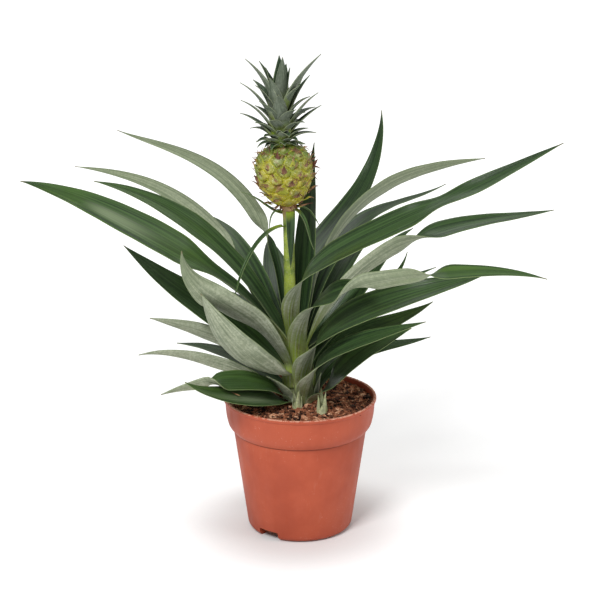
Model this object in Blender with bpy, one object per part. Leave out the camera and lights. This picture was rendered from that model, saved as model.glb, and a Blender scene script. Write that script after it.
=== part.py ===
# Potted pineapple plant: a young ornamental pineapple in a 12 cm nursery pot.
# The origin is the middle of the pot's underside, +Z up, +X to the right, +Y to the back.
# Sizes below are in millimetres and degrees; the last step of each piece turns them into metres.

import math
import random

import bmesh
import bpy
import numpy as np
from mathutils import Matrix, Vector, noise

mm = 0.001
seat_gap = 0.3          # between pieces that rest on each other
golden_angle = 137.508  # turn from one leaf, eye or bract to the next

# pot
pot_height = 108.0
pot_rim_radius = 60.0
pot_foot_radius = 41.6
pot_corner = 5.0
pot_shoulder_z = 82.0         # where the collar starts
pot_shoulder_radius = 52.4
pot_wall = 1.6
pot_floor = 2.6
pot_sides = 40
drain_count = 8               # openings round the foot: two deep slots, the rest shallow channels
drain_first = 233.0
drain_slot = (14.0, 18.0, 7.0)       # along the radius, across, high
drain_channel = (14.0, 11.0, 1.0)

# soil and stem
soil_top = 103.4
soil_mound = 1.4              # how much higher the soil lies round the stem
soil_grain = 0.9              # height of its lumps
stem_hole_radius = 13.9
stem_hole_floor = 92.0
stem_sides = 14
# the stem from its foot in the soil to the fruit: (x, z, radius)
stem_line = (
    (0.0, 92.3, 12.0), (0.0, 104.0, 12.5), (0.0, 112.0, 13.0), (-0.9, 125.0, 12.0),
    (-2.0, 140.0, 9.5), (-3.3, 152.0, 7.2), (-4.6, 162.0, 5.6), (-5.8, 171.0, 4.9),
    (-7.7, 186.0, 4.5), (-8.1, 205.0, 4.3), (-8.4, 230.0, 4.2), (-8.6, 252.0, 4.5),
)
stem_top_radius = 5.4         # under the fruit

# fruit
fruit_foot = (-8.7, 0.0, 261.0)
fruit_top = (-14.2, 0.0, 306.4)
fruit_outline = ((0.0, 6.0), (0.09, 10.8), (0.25, 16.0), (0.45, 19.2), (0.7, 19.9), (0.88, 17.4),
                 (1.0, 10.5))   # (share of the height, radius)
fruit_sides = 36
fruit_rings = 19
eye_count = 72
eye_radius = 5.2
eye_rise = 1.5
bract_length = 5.5

# crown
crown_top = (-14.4, 0.0, 338.0)
crown_core = ((0, 8.5), (0.15, 9.0), (0.5, 7.0), (0.85, 4.0), (1, 1.5))   # (share, radius)
crown_leaf_count = 28
crown_first_turn = 230.0       # of the lowest leaf, round from +X
# a crown leaf by its share of the way up: climb from foot to tip, length, width
crown_leaves = (
    (0.0, (48, 30, 0, -22), 24, 9),
    (0.35, (62, 48, 22, 2), 31, 11),
    (0.65, (72, 62, 50, 38), 46, 13),
    (0.85, (78, 70, 60, 54), 46, 12.5),
    (1.0, (88, 87, 82, 76), 38, 10),
)

# leaves
leaf_thickness = 0.8
leaf_stand_off = 0.95         # from the stem's skin to the middle of a leaf's thickness
leaf_fold = 70.0              # channel of a leaf's section, in degrees of arc
leaf_tip_width = 0.9
leaf_columns = 4              # faces across a leaf
leaf_row_length = 24.0

colours = {                   # base colour and roughness
    "terracotta_plastic": ((0.52, 0.11, 0.055), 0.5),
    "potting_soil": ((0.055, 0.026, 0.015), 0.95),
    "leaf_green": ((0.028, 0.085, 0.022), 0.38),
    "stem_green": ((0.16, 0.25, 0.05), 0.5),
    "fruit_skin": ((0.42, 0.38, 0.03), 0.5),
    "crown_green": ((0.09, 0.15, 0.08), 0.5),
}


def leaf(foot, length, width, climb, heading, roll=((0, 0),), belly=0.42, waist=0.5):
    """One leaf's driving values.

    foot is the height on the stem. climb and heading are control angles from foot to tip, above the
    level and round the stem from +X. roll lists (share of the length, turn about the leaf's own line).
    belly is the share of the length where the leaf is widest, waist its width at the foot against that.
    """
    return dict(foot=foot, length=length, width=width, climb=climb, heading=heading, roll=roll,
                belly=belly, waist=waist)


leaves = {
    "leaf_01": leaf(105, 100, 26, (29, 5, 8, 41), (224, 215, 205), roll=((0, 0), (0.2, -25), (1, -20))),
    "leaf_02": leaf(106, 134, 30, (47, 49, 30, 29), (-42, -59, -41), roll=((0, 0), (0.3, 50))),
    "leaf_03": leaf(106, 107, 11, (76, 19, -1, 16), (15, 2, 1), roll=((0, 0), (0.3, 50))),
    "leaf_04": leaf(107, 113, 22, (56, -2, 5, -13), (219, 203, 200),
                    roll=((0, 0), (0.15, -25), (0.55, -30), (0.7, 55))),
    "leaf_05": leaf(109, 112, 22, (34, 12, 0, -8), (98, 96, 92)),
    "leaf_06": leaf(110, 112, 22, (34, 14, 0, -8), (150, 146, 142)),
    "leaf_07": leaf(111, 115, 22, (36, 16, 2, -4), (54, 50, 48)),
    "leaf_08": leaf(117, 117, 14, (21, 22, 28, -11), (188, 189, 189), roll=((0, 0), (0.4, 60))),
    "leaf_09": leaf(119, 150, 26, (50, 25, 5, -12), (128, 124, 120)),
    "leaf_10": leaf(124, 155, 26, (55, 30, 8, -10), (76, 74, 70)),
    "leaf_11": leaf(125, 114, 20, (36, 27, 17, 15), (169, 181, 191),
                    roll=((0, 0), (0.3, 60)), waist=0.58),
    "leaf_12": leaf(112, 158, 19, (57, 37, 22, 20), (-81, -56, -34, -17),
                    roll=((0, 0), (0.3, 42)), waist=0.59),
    "leaf_13": leaf(127, 121, 20, (65, 21, 19, 39), (-16, -33, -22), roll=((0, 0), (0.3, 45))),
    "leaf_14": leaf(127, 68, 20, (45, 34, 30, 33), (29, 26, 24), roll=((0, 0), (0.3, 20))),
    "leaf_15": leaf(128, 165, 26, (57, 32, 14, -3), (107, 95, 97)),
    "leaf_16": leaf(131, 121, 12, (58, 26, 14, 76), (42, 10, 24), roll=((0, 0), (0.3, 20))),
    "leaf_17": leaf(122, 205, 31, (63, 41, 16, 7), (-85, -37, -13, 26),
                    roll=((0, 0), (0.3, 37)), waist=0.37),
    "leaf_18": leaf(127, 114, 41, (20, 36, 63, 63), (225, 215, 213, 201),
                    roll=((0, 0), (0.3, 21), (1, 24)), waist=0.39),
    "leaf_19": leaf(134, 125, 14, (60, 41, 23, 22), (20, 8, 1), roll=((0, 0), (0.3, 20))),
    "leaf_20": leaf(132, 156, 26, (46, 28, 37, 43), (176, 184, 180),
                    roll=((0, 0), (0.4, -45)), waist=0.66),
    "leaf_21": leaf(135, 145, 29, (62, 51, -10, 92), (224, 208, 210, 220),
                    roll=((0, 0), (0.15, 3), (0.5, 35), (0.8, 89)), waist=0.35),
    "leaf_22": leaf(139, 185, 24, (57, 57, 14, -10), (136, 116, 125)),
    "leaf_23": leaf(139, 170, 24, (58, 48, 12, 6), (58, 60, 58)),
    "leaf_24": leaf(147, 127, 22, (38, 53, 55, 23), (15, 42, 23), roll=((0, 0), (0.3, 20))),
    "leaf_25": leaf(148, 250, 28, (67, 19, 44, 13), (206, 189, 189),
                    roll=((0, 0), (0.2, -14), (0.34, -14), (0.5, -45), (1, -50)), belly=0.55),
    "leaf_26": leaf(149, 250, 30, (50, 5, 15, 97), (97, 42, 49)),
    "leaf_27": leaf(149, 233, 24, (69, 42, -7, 9), (2, 8, 9),
                    roll=((0, 0), (0.15, -40), (0.45, -50), (0.62, 25))),
    "leaf_28": leaf(152, 232, 12, (56, 67, 9, 6), (155, 141, 179),
                    roll=((0, 0), (0.3, 20), (0.45, 120)), belly=0.5),
    "leaf_29": leaf(152, 239, 20, (69, 32, -23, 16), (59, 64, 37)),
    "leaf_30": leaf(154, 199, 24, (65, 54, 34, 11), (183, 178, 181),
                    roll=((0, 0), (0.1, -20), (0.4, -20), (0.6, -35))),
    "leaf_31": leaf(155, 249, 22, (77, 41, 1, 4), (55, 49, 18), roll=((0, 0), (0.3, -60))),
    "leaf_32": leaf(141, 281, 20, (78, -5, 32, -5), (-92, -37, -30, -36),
                    roll=((0, 0), (0.22, 25), (0.36, 52), (0.5, -50), (0.62, -50), (0.75, 45)), waist=0.8),
    "leaf_33": leaf(158, 148, 20, (78, 84, 84, 81), (62, 58, 50)),
    "leaf_34": leaf(158, 226, 12.5, (78, 98, -7, 23), (142, 151, 187),
                    roll=((0, 0), (0.3, 0), (0.45, 130)), belly=0.5),
    "leaf_35": leaf(158, 303, 24, (68, 18, 29, 24), (-104, -42, 10, 11),
                    roll=((0, 0), (0.3, 46), (0.6, 40), (0.69, 14), (0.79, 34), (1, 36)),
                    belly=0.46, waist=0.48),
    "sheath_1": leaf(110, 30, 17, (62, 44, 32), (226, 215, 213), belly=0.3, waist=0.9),
    "sheath_2": leaf(109, 19, 16, (86, 80, 83, 73), (345, 348, 350), belly=0.3, waist=0.9),
}

# Narrow bracts of the fruit stalk: height on the stalk, then directions and sizes as for a leaf
stalk_bracts = {
    "stalk_bract_1": dict(height=245, length=78, width=6, rows=7,
                          heading=(218, 224, 226), climb=(5, -52, -60, -75)),
    "stalk_bract_2": dict(height=256, length=23, width=3.4, rows=6,
                          heading=(200, 200), climb=(55, -80, -92, -81)),
    "stalk_bract_3": dict(height=258, length=35, width=5.4, rows=5,
                          heading=(-30, -30), climb=(-13, -86, -78, -61)),
    "stalk_bract_4": dict(height=258, length=28, width=7, rows=5,
                          heading=(26, 14), climb=(19, -43, -66, -57)),
    "stalk_bract_5": dict(height=254, length=36, width=5, rows=4,
                          heading=(165, 165), climb=(5, 50, 35, 8)),
    "stalk_bract_6": dict(height=257, length=44, width=8, rows=5,
                          heading=(282, 280), climb=(-84, -88, -88)),
}

# Young shoots that come up beside the stem
shoots = {
    "shoot_1": dict(place=(-2.0, -19.5), top=(-4.5, -21.0, 123.0), width=6.5),
    "shoot_2": dict(place=(17.0, -29.0), top=(14.8, -31.0, 123.0), width=6.5),
}


def material(name):
    found = bpy.data.materials.get(name)
    if found:
        return found
    colour, roughness = colours[name]
    made = bpy.data.materials.new(name)
    made.use_nodes = True
    shader = made.node_tree.nodes["Principled BSDF"]
    shader.inputs["Base Color"].default_value = (*colour, 1.0)
    shader.inputs["Roughness"].default_value = roughness
    shader.inputs["Metallic"].default_value = 0.0
    return made


def finish(name, bm, look, smooth_angle=50):
    """Turn a bmesh in millimetres into a named object in metres."""
    for vert in bm.verts:
        vert.co *= mm
    mesh = bpy.data.meshes.new(name)
    bm.to_mesh(mesh)
    bm.free()
    mesh.materials.append(material(look))
    mesh.shade_smooth()
    mesh.set_sharp_from_angle(angle=math.radians(smooth_angle))
    made = bpy.data.objects.new(name, mesh)
    bpy.context.collection.objects.link(made)
    return made


def through(points, at):
    """A smooth curve through (place, value) points."""
    places = np.array([point[0] for point in points], float)
    values = np.array([point[1] for point in points], float)
    slopes = np.gradient(values, places)
    at = np.clip(at, places[0], places[-1])
    k = np.clip(np.searchsorted(places, at, side="right") - 1, 0, len(places) - 2)
    span = places[k + 1] - places[k]
    u = (at - places[k]) / span
    rise = u * u * (3 - 2 * u)
    return (values[k] * (1 - rise) + values[k + 1] * rise
            + span * u * (1 - u) * (slopes[k] * (1 - u) - slopes[k + 1] * u))


def blend(controls, along):
    """Bezier blend of control values."""
    n = len(controls) - 1
    return sum(math.comb(n, i) * along ** i * (1 - along) ** (n - i) * value
               for i, value in enumerate(controls))


def ease(x):
    x = np.clip(x, 0, 1)
    return x * x * (3 - 2 * x)


def keyed(keys, along):
    """Value that eases from one (place, value) key to the next."""
    value = np.full(len(along), float(keys[0][1]))
    for (start, low), (end, high) in zip(keys, keys[1:]):
        value = np.where(along > start, low + (high - low) * ease((along - start) / (end - start)), value)
    return value


# ---- pot and soil

def turned(outline, sides):
    """Spin a (radius, z) outline, running up its outer side and back to the axis, round Z."""
    bm = bmesh.new()
    ring = [bm.verts.new((radius, 0, z)) for radius, z in outline]
    edges = [bm.edges.new(pair) for pair in zip(ring, ring[1:])]
    bmesh.ops.spin(bm, geom=ring + edges, axis=(0, 0, 1), cent=(0, 0, 0), angle=2 * math.pi,
                   steps=sides, use_merge=True)
    bmesh.ops.remove_doubles(bm, verts=bm.verts, dist=0.001)
    bmesh.ops.recalc_face_normals(bm, faces=bm.faces)
    return bm


def pot_outside():
    arc = [(pot_foot_radius - pot_corner * (1 - math.sin(a)), pot_corner * (1 - math.cos(a)))
           for a in np.radians((0, 30, 60, 84))]
    shoulder = pot_shoulder_radius
    collar = [(shoulder, pot_shoulder_z), (shoulder + 2.1, pot_shoulder_z + 2),
              (shoulder + 3.6, pot_shoulder_z + 4), (shoulder + 4.8, pot_shoulder_z + 8),
              (pot_rim_radius - 1.1, pot_height - 3)]
    lip = [(pot_rim_radius, pot_height - 1.6), (pot_rim_radius, pot_height - 0.5),
           (pot_rim_radius - 0.5, pot_height)]
    return arc + collar + lip


def pot_inside(inset=0.0):
    """The inner outline from the floor up, moved in and up by inset."""
    shoulder = pot_shoulder_radius - pot_wall - inset
    foot = pot_foot_radius - 1.3 - inset
    return [(foot - 3.2, pot_floor + inset), (foot, 7.0 + inset), (shoulder, pot_shoulder_z + 0.6),
            (shoulder + 3.4, pot_shoulder_z + 4.8), (shoulder + 4.9, pot_shoulder_z + 9),
            (pot_rim_radius - 2.6 - inset, soil_top)]


def drain_cutter(name, size, angle):
    along, across, high = size
    bm = bmesh.new()
    bmesh.ops.create_cube(bm, size=1.0)
    bmesh.ops.scale(bm, verts=bm.verts, vec=(along, across, 2 * high))
    bmesh.ops.translate(bm, verts=bm.verts, vec=(pot_foot_radius - 3.0, 0, 0))
    bmesh.ops.rotate(bm, verts=bm.verts, cent=(0, 0, 0),
                     matrix=Matrix.Rotation(math.radians(angle), 3, "Z"))
    made = finish(name, bm, "terracotta_plastic")
    made.hide_render = True
    made.display_type = "WIRE"
    return made


def cut(target, cutters):
    for tool in cutters:
        boolean = target.modifiers.new(tool.name, "BOOLEAN")
        boolean.operation = "DIFFERENCE"
        boolean.solver = "EXACT"
        boolean.object = tool


def make_pot():
    lip = [(pot_rim_radius - 1.8, pot_height), (pot_rim_radius - 2.4, pot_height - 1.0)]
    inside = list(reversed(pot_inside()))
    outline = [(0, 0)] + pot_outside() + lip + inside + [(0, pot_floor)]
    pot = finish("pot", turned(outline, pot_sides), "terracotta_plastic", 35)
    step = 360.0 / drain_count
    deep = (0, drain_count // 2)
    cut(pot, [drain_cutter("drain_%d" % k, drain_slot if k in deep else drain_channel,
                           drain_first + k * step) for k in range(drain_count)])


def soil_height(radius):
    return soil_top + soil_mound * (1 - radius / pot_rim_radius) ** 2


def make_soil():
    wall = pot_inside(seat_gap)
    edge = wall[-1][0]
    surface = [(radius, soil_height(radius)) for radius in np.linspace(edge - 3.0, 17.5, 8)]
    hole = [(stem_hole_radius, soil_height(stem_hole_radius)), (stem_hole_radius, stem_hole_floor),
            (0, stem_hole_floor)]
    outline = [(0, pot_floor + seat_gap)] + wall + surface + hole
    bm = turned(outline, pot_sides)
    for vert in bm.verts:
        radius = vert.co.xy.length
        if vert.co.z > soil_top - 0.5 and stem_hole_radius + 2 < radius < edge - 1:
            vert.co.z += soil_grain * noise.noise(vert.co * 0.13)
    soil = finish("soil", bm, "potting_soil", 25)
    holes = []
    for name, shoot in shoots.items():
        x, y = shoot["place"]
        bm = bmesh.new()
        bmesh.ops.create_cone(bm, cap_ends=True, segments=12, radius1=shoot["width"] / 2 + 0.9,
                              radius2=shoot["width"] / 2 + 0.9, depth=12)
        bmesh.ops.translate(bm, verts=bm.verts, vec=(x, y, soil_top - 2))
        hole = finish(name + "_hole", bm, "potting_soil")
        hole.hide_render = True
        hole.display_type = "WIRE"
        holes.append(hole)
    cut(soil, holes)


# ---- stem, fruit and crown

def stem_at(z):
    """The stem's axis point and its radius at a height."""
    heights = [point[1] for point in stem_line]
    x = np.interp(z, heights, [point[0] for point in stem_line])
    return Vector((x, 0, z)), np.interp(z, heights, [point[2] for point in stem_line])


def bridge_rings(bm, rings):
    for low, high in zip(rings, rings[1:]):
        for k in range(len(low)):
            nxt = (k + 1) % len(low)
            bm.faces.new((low[k], low[nxt], high[nxt], high[k]))
    bm.faces.new(list(reversed(rings[0])))
    bm.faces.new(rings[-1])


def make_stem():
    bm = bmesh.new()
    rings = []
    turns = [2 * math.pi * k / stem_sides for k in range(stem_sides)]
    for x, z, radius in stem_line:
        rings.append([bm.verts.new((x + radius * math.cos(a), radius * math.sin(a), z)) for a in turns])
    up, side = fruit_axes()
    top = Vector(fruit_foot) - up * seat_gap
    rings.append([bm.verts.new(top + stem_top_radius * (side * math.cos(a) + Vector((0, math.sin(a), 0))))
                  for a in turns])
    bridge_rings(bm, rings)
    finish("stem", bm, "stem_green")


def fruit_axes():
    """The fruit's own way up and the level way to its side."""
    up = (Vector(fruit_top) - Vector(fruit_foot)).normalized()
    return up, Vector((0, 1, 0)).cross(up).normalized()


def fruit_point(share, turn, rise=0.0):
    """A point on the fruit, rise above its smooth skin, and the way out from it."""
    outward = fruit_axes()[1] * math.cos(turn) + Vector((0, 1, 0)) * math.sin(turn)
    radius = float(through(fruit_outline, share)) + rise
    return Vector(fruit_foot).lerp(Vector(fruit_top), share) + outward * radius, outward


def fruit_eyes():
    """Eyes in a golden-angle spiral, evenly over the skin."""
    shares = np.linspace(0, 1, 200)
    area = np.cumsum(through(fruit_outline, shares))
    area /= area[-1]
    eyes = []
    for k in range(eye_count):
        share = float(np.interp((k + 0.5) / eye_count, area, shares))
        turn = math.radians(k * golden_angle)
        eyes.append((share, turn, fruit_point(share, turn)[0]))
    return eyes


def spike(name, foot, way, up, length, width):
    """A small three-sided bract that curls up at its tip."""
    bm = bmesh.new()
    across = way.cross(up).normalized()
    lift = across.cross(way).normalized()
    rings = []
    for along, size, bend in ((-0.25, 1.0, 0.0), (0.45, 0.6, 0.06)):
        middle = foot + way * length * along + lift * length * bend
        rings.append([bm.verts.new(middle + across * width * size / 2 - lift * width * 0.12),
                      bm.verts.new(middle - across * width * size / 2 - lift * width * 0.12),
                      bm.verts.new(middle + lift * width * size * 0.3)])
    tip = bm.verts.new(foot + way * length * 0.95 + lift * length * 0.35)
    for k in range(3):
        nxt = (k + 1) % 3
        bm.faces.new((rings[0][k], rings[0][nxt], rings[1][nxt], rings[1][k]))
        bm.faces.new((rings[1][k], rings[1][nxt], tip))
    bm.faces.new(list(reversed(rings[0])))
    bmesh.ops.recalc_face_normals(bm, faces=bm.faces)
    return finish(name, bm, "fruit_skin")


def fill_pockets(mesh):
    """Keep the outer skin only, so that a pocket closed in between repeats is solid."""
    bm = bmesh.new()
    bm.from_mesh(mesh)
    left = set(bm.verts)
    skins = []
    while left:
        skin = [left.pop()]
        for vert in skin:
            for edge in vert.link_edges:
                other = edge.other_vert(vert)
                if other in left:
                    left.remove(other)
                    skin.append(other)
        skins.append(skin)
    skins.sort(key=len)
    for skin in skins[:-1]:
        bmesh.ops.delete(bm, geom=skin, context="VERTS")
    bm.to_mesh(mesh)
    bm.free()


def join_repeats(body, repeats):
    """Fuse the repeats into the body and remove their objects."""
    group = bpy.data.collections.new(body.name + "_repeats")
    for piece in repeats:
        bpy.context.collection.objects.unlink(piece)
        group.objects.link(piece)
    bpy.context.scene.collection.children.link(group)
    union = body.modifiers.new("repeats", "BOOLEAN")
    union.operation = "UNION"
    union.operand_type = "COLLECTION"
    union.collection = group
    union.solver = "EXACT"
    graph = bpy.context.evaluated_depsgraph_get()
    joined = bpy.data.meshes.new_from_object(body.evaluated_get(graph))
    body.modifiers.clear()
    fill_pockets(joined)
    body.data = joined
    for piece in repeats:
        bpy.data.objects.remove(piece, do_unlink=True)
    bpy.data.collections.remove(group)


def make_fruit():
    eyes = fruit_eyes()
    bm = bmesh.new()
    rings = []
    for share in np.linspace(0, 1, fruit_rings):
        ring = []
        for k in range(fruit_sides):
            turn = 2 * math.pi * k / fruit_sides
            skin, _ = fruit_point(share, turn)
            near = min((skin - eye[2]).length for eye in eyes)
            rise = eye_rise * max(0.0, 1 - (near / eye_radius) ** 2) * math.sin(math.pi * share) ** 0.3
            ring.append(bm.verts.new(fruit_point(share, turn, rise)[0]))
        rings.append(ring)
    bridge_rings(bm, rings)
    fruit = finish("fruit", bm, "fruit_skin")

    rng = random.Random(5)
    up, _ = fruit_axes()
    bracts = []
    for k, (share, turn, place) in enumerate(eyes):
        if not 0.06 < share < 0.9:
            continue
        out = fruit_point(share, turn)[1]
        way = (out + up * rng.uniform(0.15, 0.6)).normalized()
        foot = place - up * 1.2 + out * 0.6
        bracts.append(spike("bract_%d" % k, foot, way, up, bract_length * rng.uniform(0.75, 1.15), 4.0))
    join_repeats(fruit, bracts)


def keeled_blade(name, foot, heading, climb, length, width, look, rows=4, keel=0.9):
    """A small channelled blade with a diamond section that tapers to a point."""
    bm = bmesh.new()
    along = np.linspace(0, 1, rows + 1)
    rise = np.radians(blend(climb, along))
    turn = np.radians(blend(heading, along))
    way = np.stack([np.cos(rise) * np.cos(turn), np.cos(rise) * np.sin(turn), np.sin(rise)], 1)
    upper = np.stack([-np.sin(rise) * np.cos(turn), -np.sin(rise) * np.sin(turn), np.cos(rise)], 1)
    steps = (way[1:] + way[:-1]) / 2 * length / rows
    line = np.vstack([np.zeros(3), np.cumsum(steps, axis=0)]) + np.array(foot)
    rings = []
    for k in range(rows):
        across = np.cross(way[k], upper[k])
        half = width / 2 * (1 - along[k] ** 1.5)
        thick = keel * (1 - 0.4 * along[k])
        edge = upper[k] * half * 0.45
        rings.append([bm.verts.new(line[k] + across * half + edge),
                      bm.verts.new(line[k] + upper[k] * thick / 2),
                      bm.verts.new(line[k] - across * half + edge),
                      bm.verts.new(line[k] - upper[k] * thick / 2)])
    tip = bm.verts.new(line[rows] + upper[rows] * keel * 0.2)
    for low, high in zip(rings, rings[1:]):
        for k in range(4):
            nxt = (k + 1) % 4
            bm.faces.new((low[k], low[nxt], high[nxt]))
            bm.faces.new((low[k], high[nxt], high[k]))
    for k in range(4):
        bm.faces.new((rings[-1][k], rings[-1][(k + 1) % 4], tip))
    bm.faces.new((rings[0][3], rings[0][2], rings[0][1]))
    bm.faces.new((rings[0][3], rings[0][1], rings[0][0]))
    bmesh.ops.recalc_face_normals(bm, faces=bm.faces)
    return finish(name, bm, look)


def make_crown():
    up, side = fruit_axes()
    foot, top = Vector(fruit_top) + up * seat_gap, Vector(crown_top)
    bm = bmesh.new()
    rings = []
    for share, radius in crown_core:
        middle = foot.lerp(top, share)
        rings.append([bm.verts.new(middle + radius * (side * math.cos(a) + Vector((0, math.sin(a), 0))))
                      for a in np.radians(np.arange(0, 360, 36))])
    bridge_rings(bm, rings)
    crown = finish("crown", bm, "crown_green")

    rng = random.Random(11)
    shares = [row[0] for row in crown_leaves]
    blades = []
    for k in range(crown_leaf_count):
        share = k / (crown_leaf_count - 1)
        turn = crown_first_turn + k * golden_angle
        spot = math.radians(turn)
        core = 0.55 * float(np.interp(share, *zip(*crown_core)))
        place = foot.lerp(top, 0.03 + 0.93 * share) + core * Vector((math.cos(spot), math.sin(spot), 0))
        climb = [float(np.interp(share, shares, [row[1][i] for row in crown_leaves])) for i in range(4)]
        climb[3] += rng.uniform(-12, 12)
        length = np.interp(share, shares, [row[2] for row in crown_leaves]) * rng.uniform(0.9, 1.08)
        width = np.interp(share, shares, [row[3] for row in crown_leaves])
        blades.append(keeled_blade("crown_leaf_%d" % k, place, (turn, turn + rng.uniform(-10, 10)), climb,
                                   length, width, "crown_green", rows=3))
    join_repeats(crown, blades)


# ---- leaves

def leaf_width(along, values):
    waist, belly = values["waist"], values["belly"]
    swell = waist + (1 - waist) * np.sin(np.clip(along / belly, 0, 1) * math.pi / 2)
    taper = 1 - np.clip((along - belly) / (1 - belly), 0, 1) ** 1.7
    return np.maximum(values["width"] * swell * taper, leaf_tip_width)


def leaf_line(foot, heading, climb, length, along):
    """Points, directions and upper-side normals of a leaf's middle line."""
    fine = np.linspace(0, 1, 97)

    def direction(shares):
        rise = np.radians(blend(climb, shares))
        turn = np.radians(blend(heading, shares))
        way = np.stack([np.cos(rise) * np.cos(turn), np.cos(rise) * np.sin(turn), np.sin(rise)], 1)
        upper = np.stack([-np.sin(rise) * np.cos(turn), -np.sin(rise) * np.sin(turn), np.cos(rise)], 1)
        return way, upper

    way, _ = direction(fine)
    steps = (way[1:] + way[:-1]) / 2 * length / (len(fine) - 1)
    line = np.vstack([foot, foot + np.cumsum(steps, axis=0)])
    points = np.stack([np.interp(along, fine, line[:, k]) for k in range(3)], 1)
    return (points, *direction(along))


def make_leaf(name, values):
    axis, radius = stem_at(values["foot"])
    reach = radius + leaf_stand_off
    turn = math.radians(values["heading"][0])
    foot = np.array(axis) + reach * np.array((math.cos(turn), math.sin(turn), 0))
    rows = 3 + round(values["length"] / leaf_row_length)
    along = np.linspace(0, 1, rows + 1)
    points, way, upper = leaf_line(foot, values["heading"], values["climb"], values["length"], along)
    roll = np.radians(keyed(values["roll"], along))[:, None]
    upper = upper * np.cos(roll) + np.cross(way, upper) * np.sin(roll)
    across = np.cross(way, upper)
    width = leaf_width(along, values)

    # the section is an arc: it clasps the stem at the foot, then opens into the leaf's channel
    opening = ease(along / 0.2)
    clasp = min(max(width[0] / reach, 0.3), 2.6)
    arc = clasp * (1 - opening) + np.radians(leaf_fold * (1 - 0.45 * along)) * opening
    centred = 1 - ease(along / 0.15) * (1 - np.sin(arc / 2) / (arc / 2))

    bm = bmesh.new()
    bmesh.ops.create_grid(bm, x_segments=leaf_columns, y_segments=rows, size=0.5)
    for vert in bm.verts:
        row = round((vert.co.y + 0.5) * rows)
        bend = 2 * vert.co.x * arc[row] / 2
        bow = width[row] / arc[row]
        vert.co = Vector(points[row] + across[row] * bow * math.sin(bend)
                         + upper[row] * bow * (centred[row] - math.cos(bend)))
    bmesh.ops.triangulate(bm, faces=bm.faces, quad_method="FIXED")
    made = finish(name, bm, "leaf_green", 60)
    solid = made.modifiers.new("thickness", "SOLIDIFY")
    solid.thickness = leaf_thickness * mm
    solid.offset = 0.0


def make_stalk_bract(name, height, length, width, rows, heading, climb):
    axis, radius = stem_at(height)
    turn = math.radians(heading[0])
    foot = axis + Vector((math.cos(turn), math.sin(turn), 0)) * (radius + leaf_stand_off)
    keeled_blade(name, foot, heading, climb, length, width, "stem_green", rows)


def make_shoot(name, shoot):
    """A young shoot: a stub in the soil whose few blades still stand together."""
    x, y = shoot["place"]
    width = shoot["width"]
    foot = Vector((x, y, soil_top - 7.5))
    top = Vector(shoot["top"])
    bm = bmesh.new()
    rings = []
    for share, size in ((0, 0.75), (0.3, 1.0), (0.55, 0.85), (0.8, 0.45), (1.0, 0.14)):
        middle = foot.lerp(top, share)
        middle.xy = foot.xy.lerp(top.xy, share ** 2)
        rings.append([bm.verts.new(middle + Vector((width / 2 * size * math.cos(a),
                                                    width / 2 * size * math.sin(a), 0)))
                      for a in np.radians(np.arange(0, 360, 45))])
    bridge_rings(bm, rings)
    finish(name, bm, "stem_green")


# ---- the whole plant

for old in list(bpy.data.objects):
    bpy.data.objects.remove(old, do_unlink=True)

make_pot()
make_soil()
make_stem()
make_fruit()
make_crown()
for leaf_name, leaf_values in leaves.items():
    make_leaf(leaf_name, leaf_values)
for bract_name, bract_values in stalk_bracts.items():
    make_stalk_bract(bract_name, **bract_values)
for shoot_name, shoot_values in shoots.items():
    make_shoot(shoot_name, shoot_values)
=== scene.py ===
# Looks of a young pineapple plant in a terracotta coloured nursery pot.
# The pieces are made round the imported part. Sizes are millimetres and degrees unless a note says more.

import math
import random

import bmesh
import bpy
import numpy as np
from mathutils import Matrix, Vector, noise


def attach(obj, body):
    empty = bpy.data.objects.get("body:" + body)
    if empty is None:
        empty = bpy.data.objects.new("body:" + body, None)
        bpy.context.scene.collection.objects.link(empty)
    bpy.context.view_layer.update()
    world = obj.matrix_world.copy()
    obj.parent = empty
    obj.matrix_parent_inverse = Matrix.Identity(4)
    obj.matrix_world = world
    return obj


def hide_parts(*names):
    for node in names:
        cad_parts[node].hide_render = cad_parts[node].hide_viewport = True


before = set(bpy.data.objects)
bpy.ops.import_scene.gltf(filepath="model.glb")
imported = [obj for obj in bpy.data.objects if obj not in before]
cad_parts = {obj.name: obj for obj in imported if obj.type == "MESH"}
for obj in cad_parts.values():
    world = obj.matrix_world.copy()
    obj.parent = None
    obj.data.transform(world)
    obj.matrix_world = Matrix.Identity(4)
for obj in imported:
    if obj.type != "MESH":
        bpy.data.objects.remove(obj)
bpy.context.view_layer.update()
mm = 0.001
goldenAngle = 137.508     # from one leaf, eye or bract to the next
noise.seed_set(5)     # noise vectors would start from the clock
print("frame loaded,", len(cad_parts), "nodes")


# small helpers for materials; a socket knows its tree, so most of these pass sockets on

def newMaterial(name):
    made = bpy.data.materials.new(name)
    made.use_nodes = True
    return made, made.node_tree, made.node_tree.nodes["Principled BSDF"]


# inputs are numbers, colours or sockets to link, in the node's own order; None leaves one alone
def addNode(tree, kind, *inputs, **settings):
    made = tree.nodes.new("ShaderNode" + kind)
    for name, value in settings.items():
        setattr(made, name, value)
    for socket, value in zip(made.inputs, inputs):
        feed(socket, value)
    return made


def feed(socket, value):
    if isinstance(value, bpy.types.NodeSocket):
        socket.id_data.links.new(value, socket)
    elif value is not None:
        socket.default_value = (*value, 1) if socket.type == "RGBA" else value


def calc(kind, *values):
    return addNode(values[0].id_data, "Math", *values, operation=kind).outputs[0]


def plus(a, b):
    return calc("ADD", a, b)


def times(a, b):
    return calc("MULTIPLY", a, b)


def distance(a, b):
    return calc("ABSOLUTE", calc("SUBTRACT", a, b))


# noise taken round its middle
def swing(value, share):
    return times(calc("SUBTRACT", value, 0.5), share)


def ramp(value, low, high, first=0.0, last=1.0):
    return addNode(value.id_data, "MapRange", value, low, high, first, last,
                   interpolation_type="SMOOTHSTEP").outputs[0]


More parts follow.
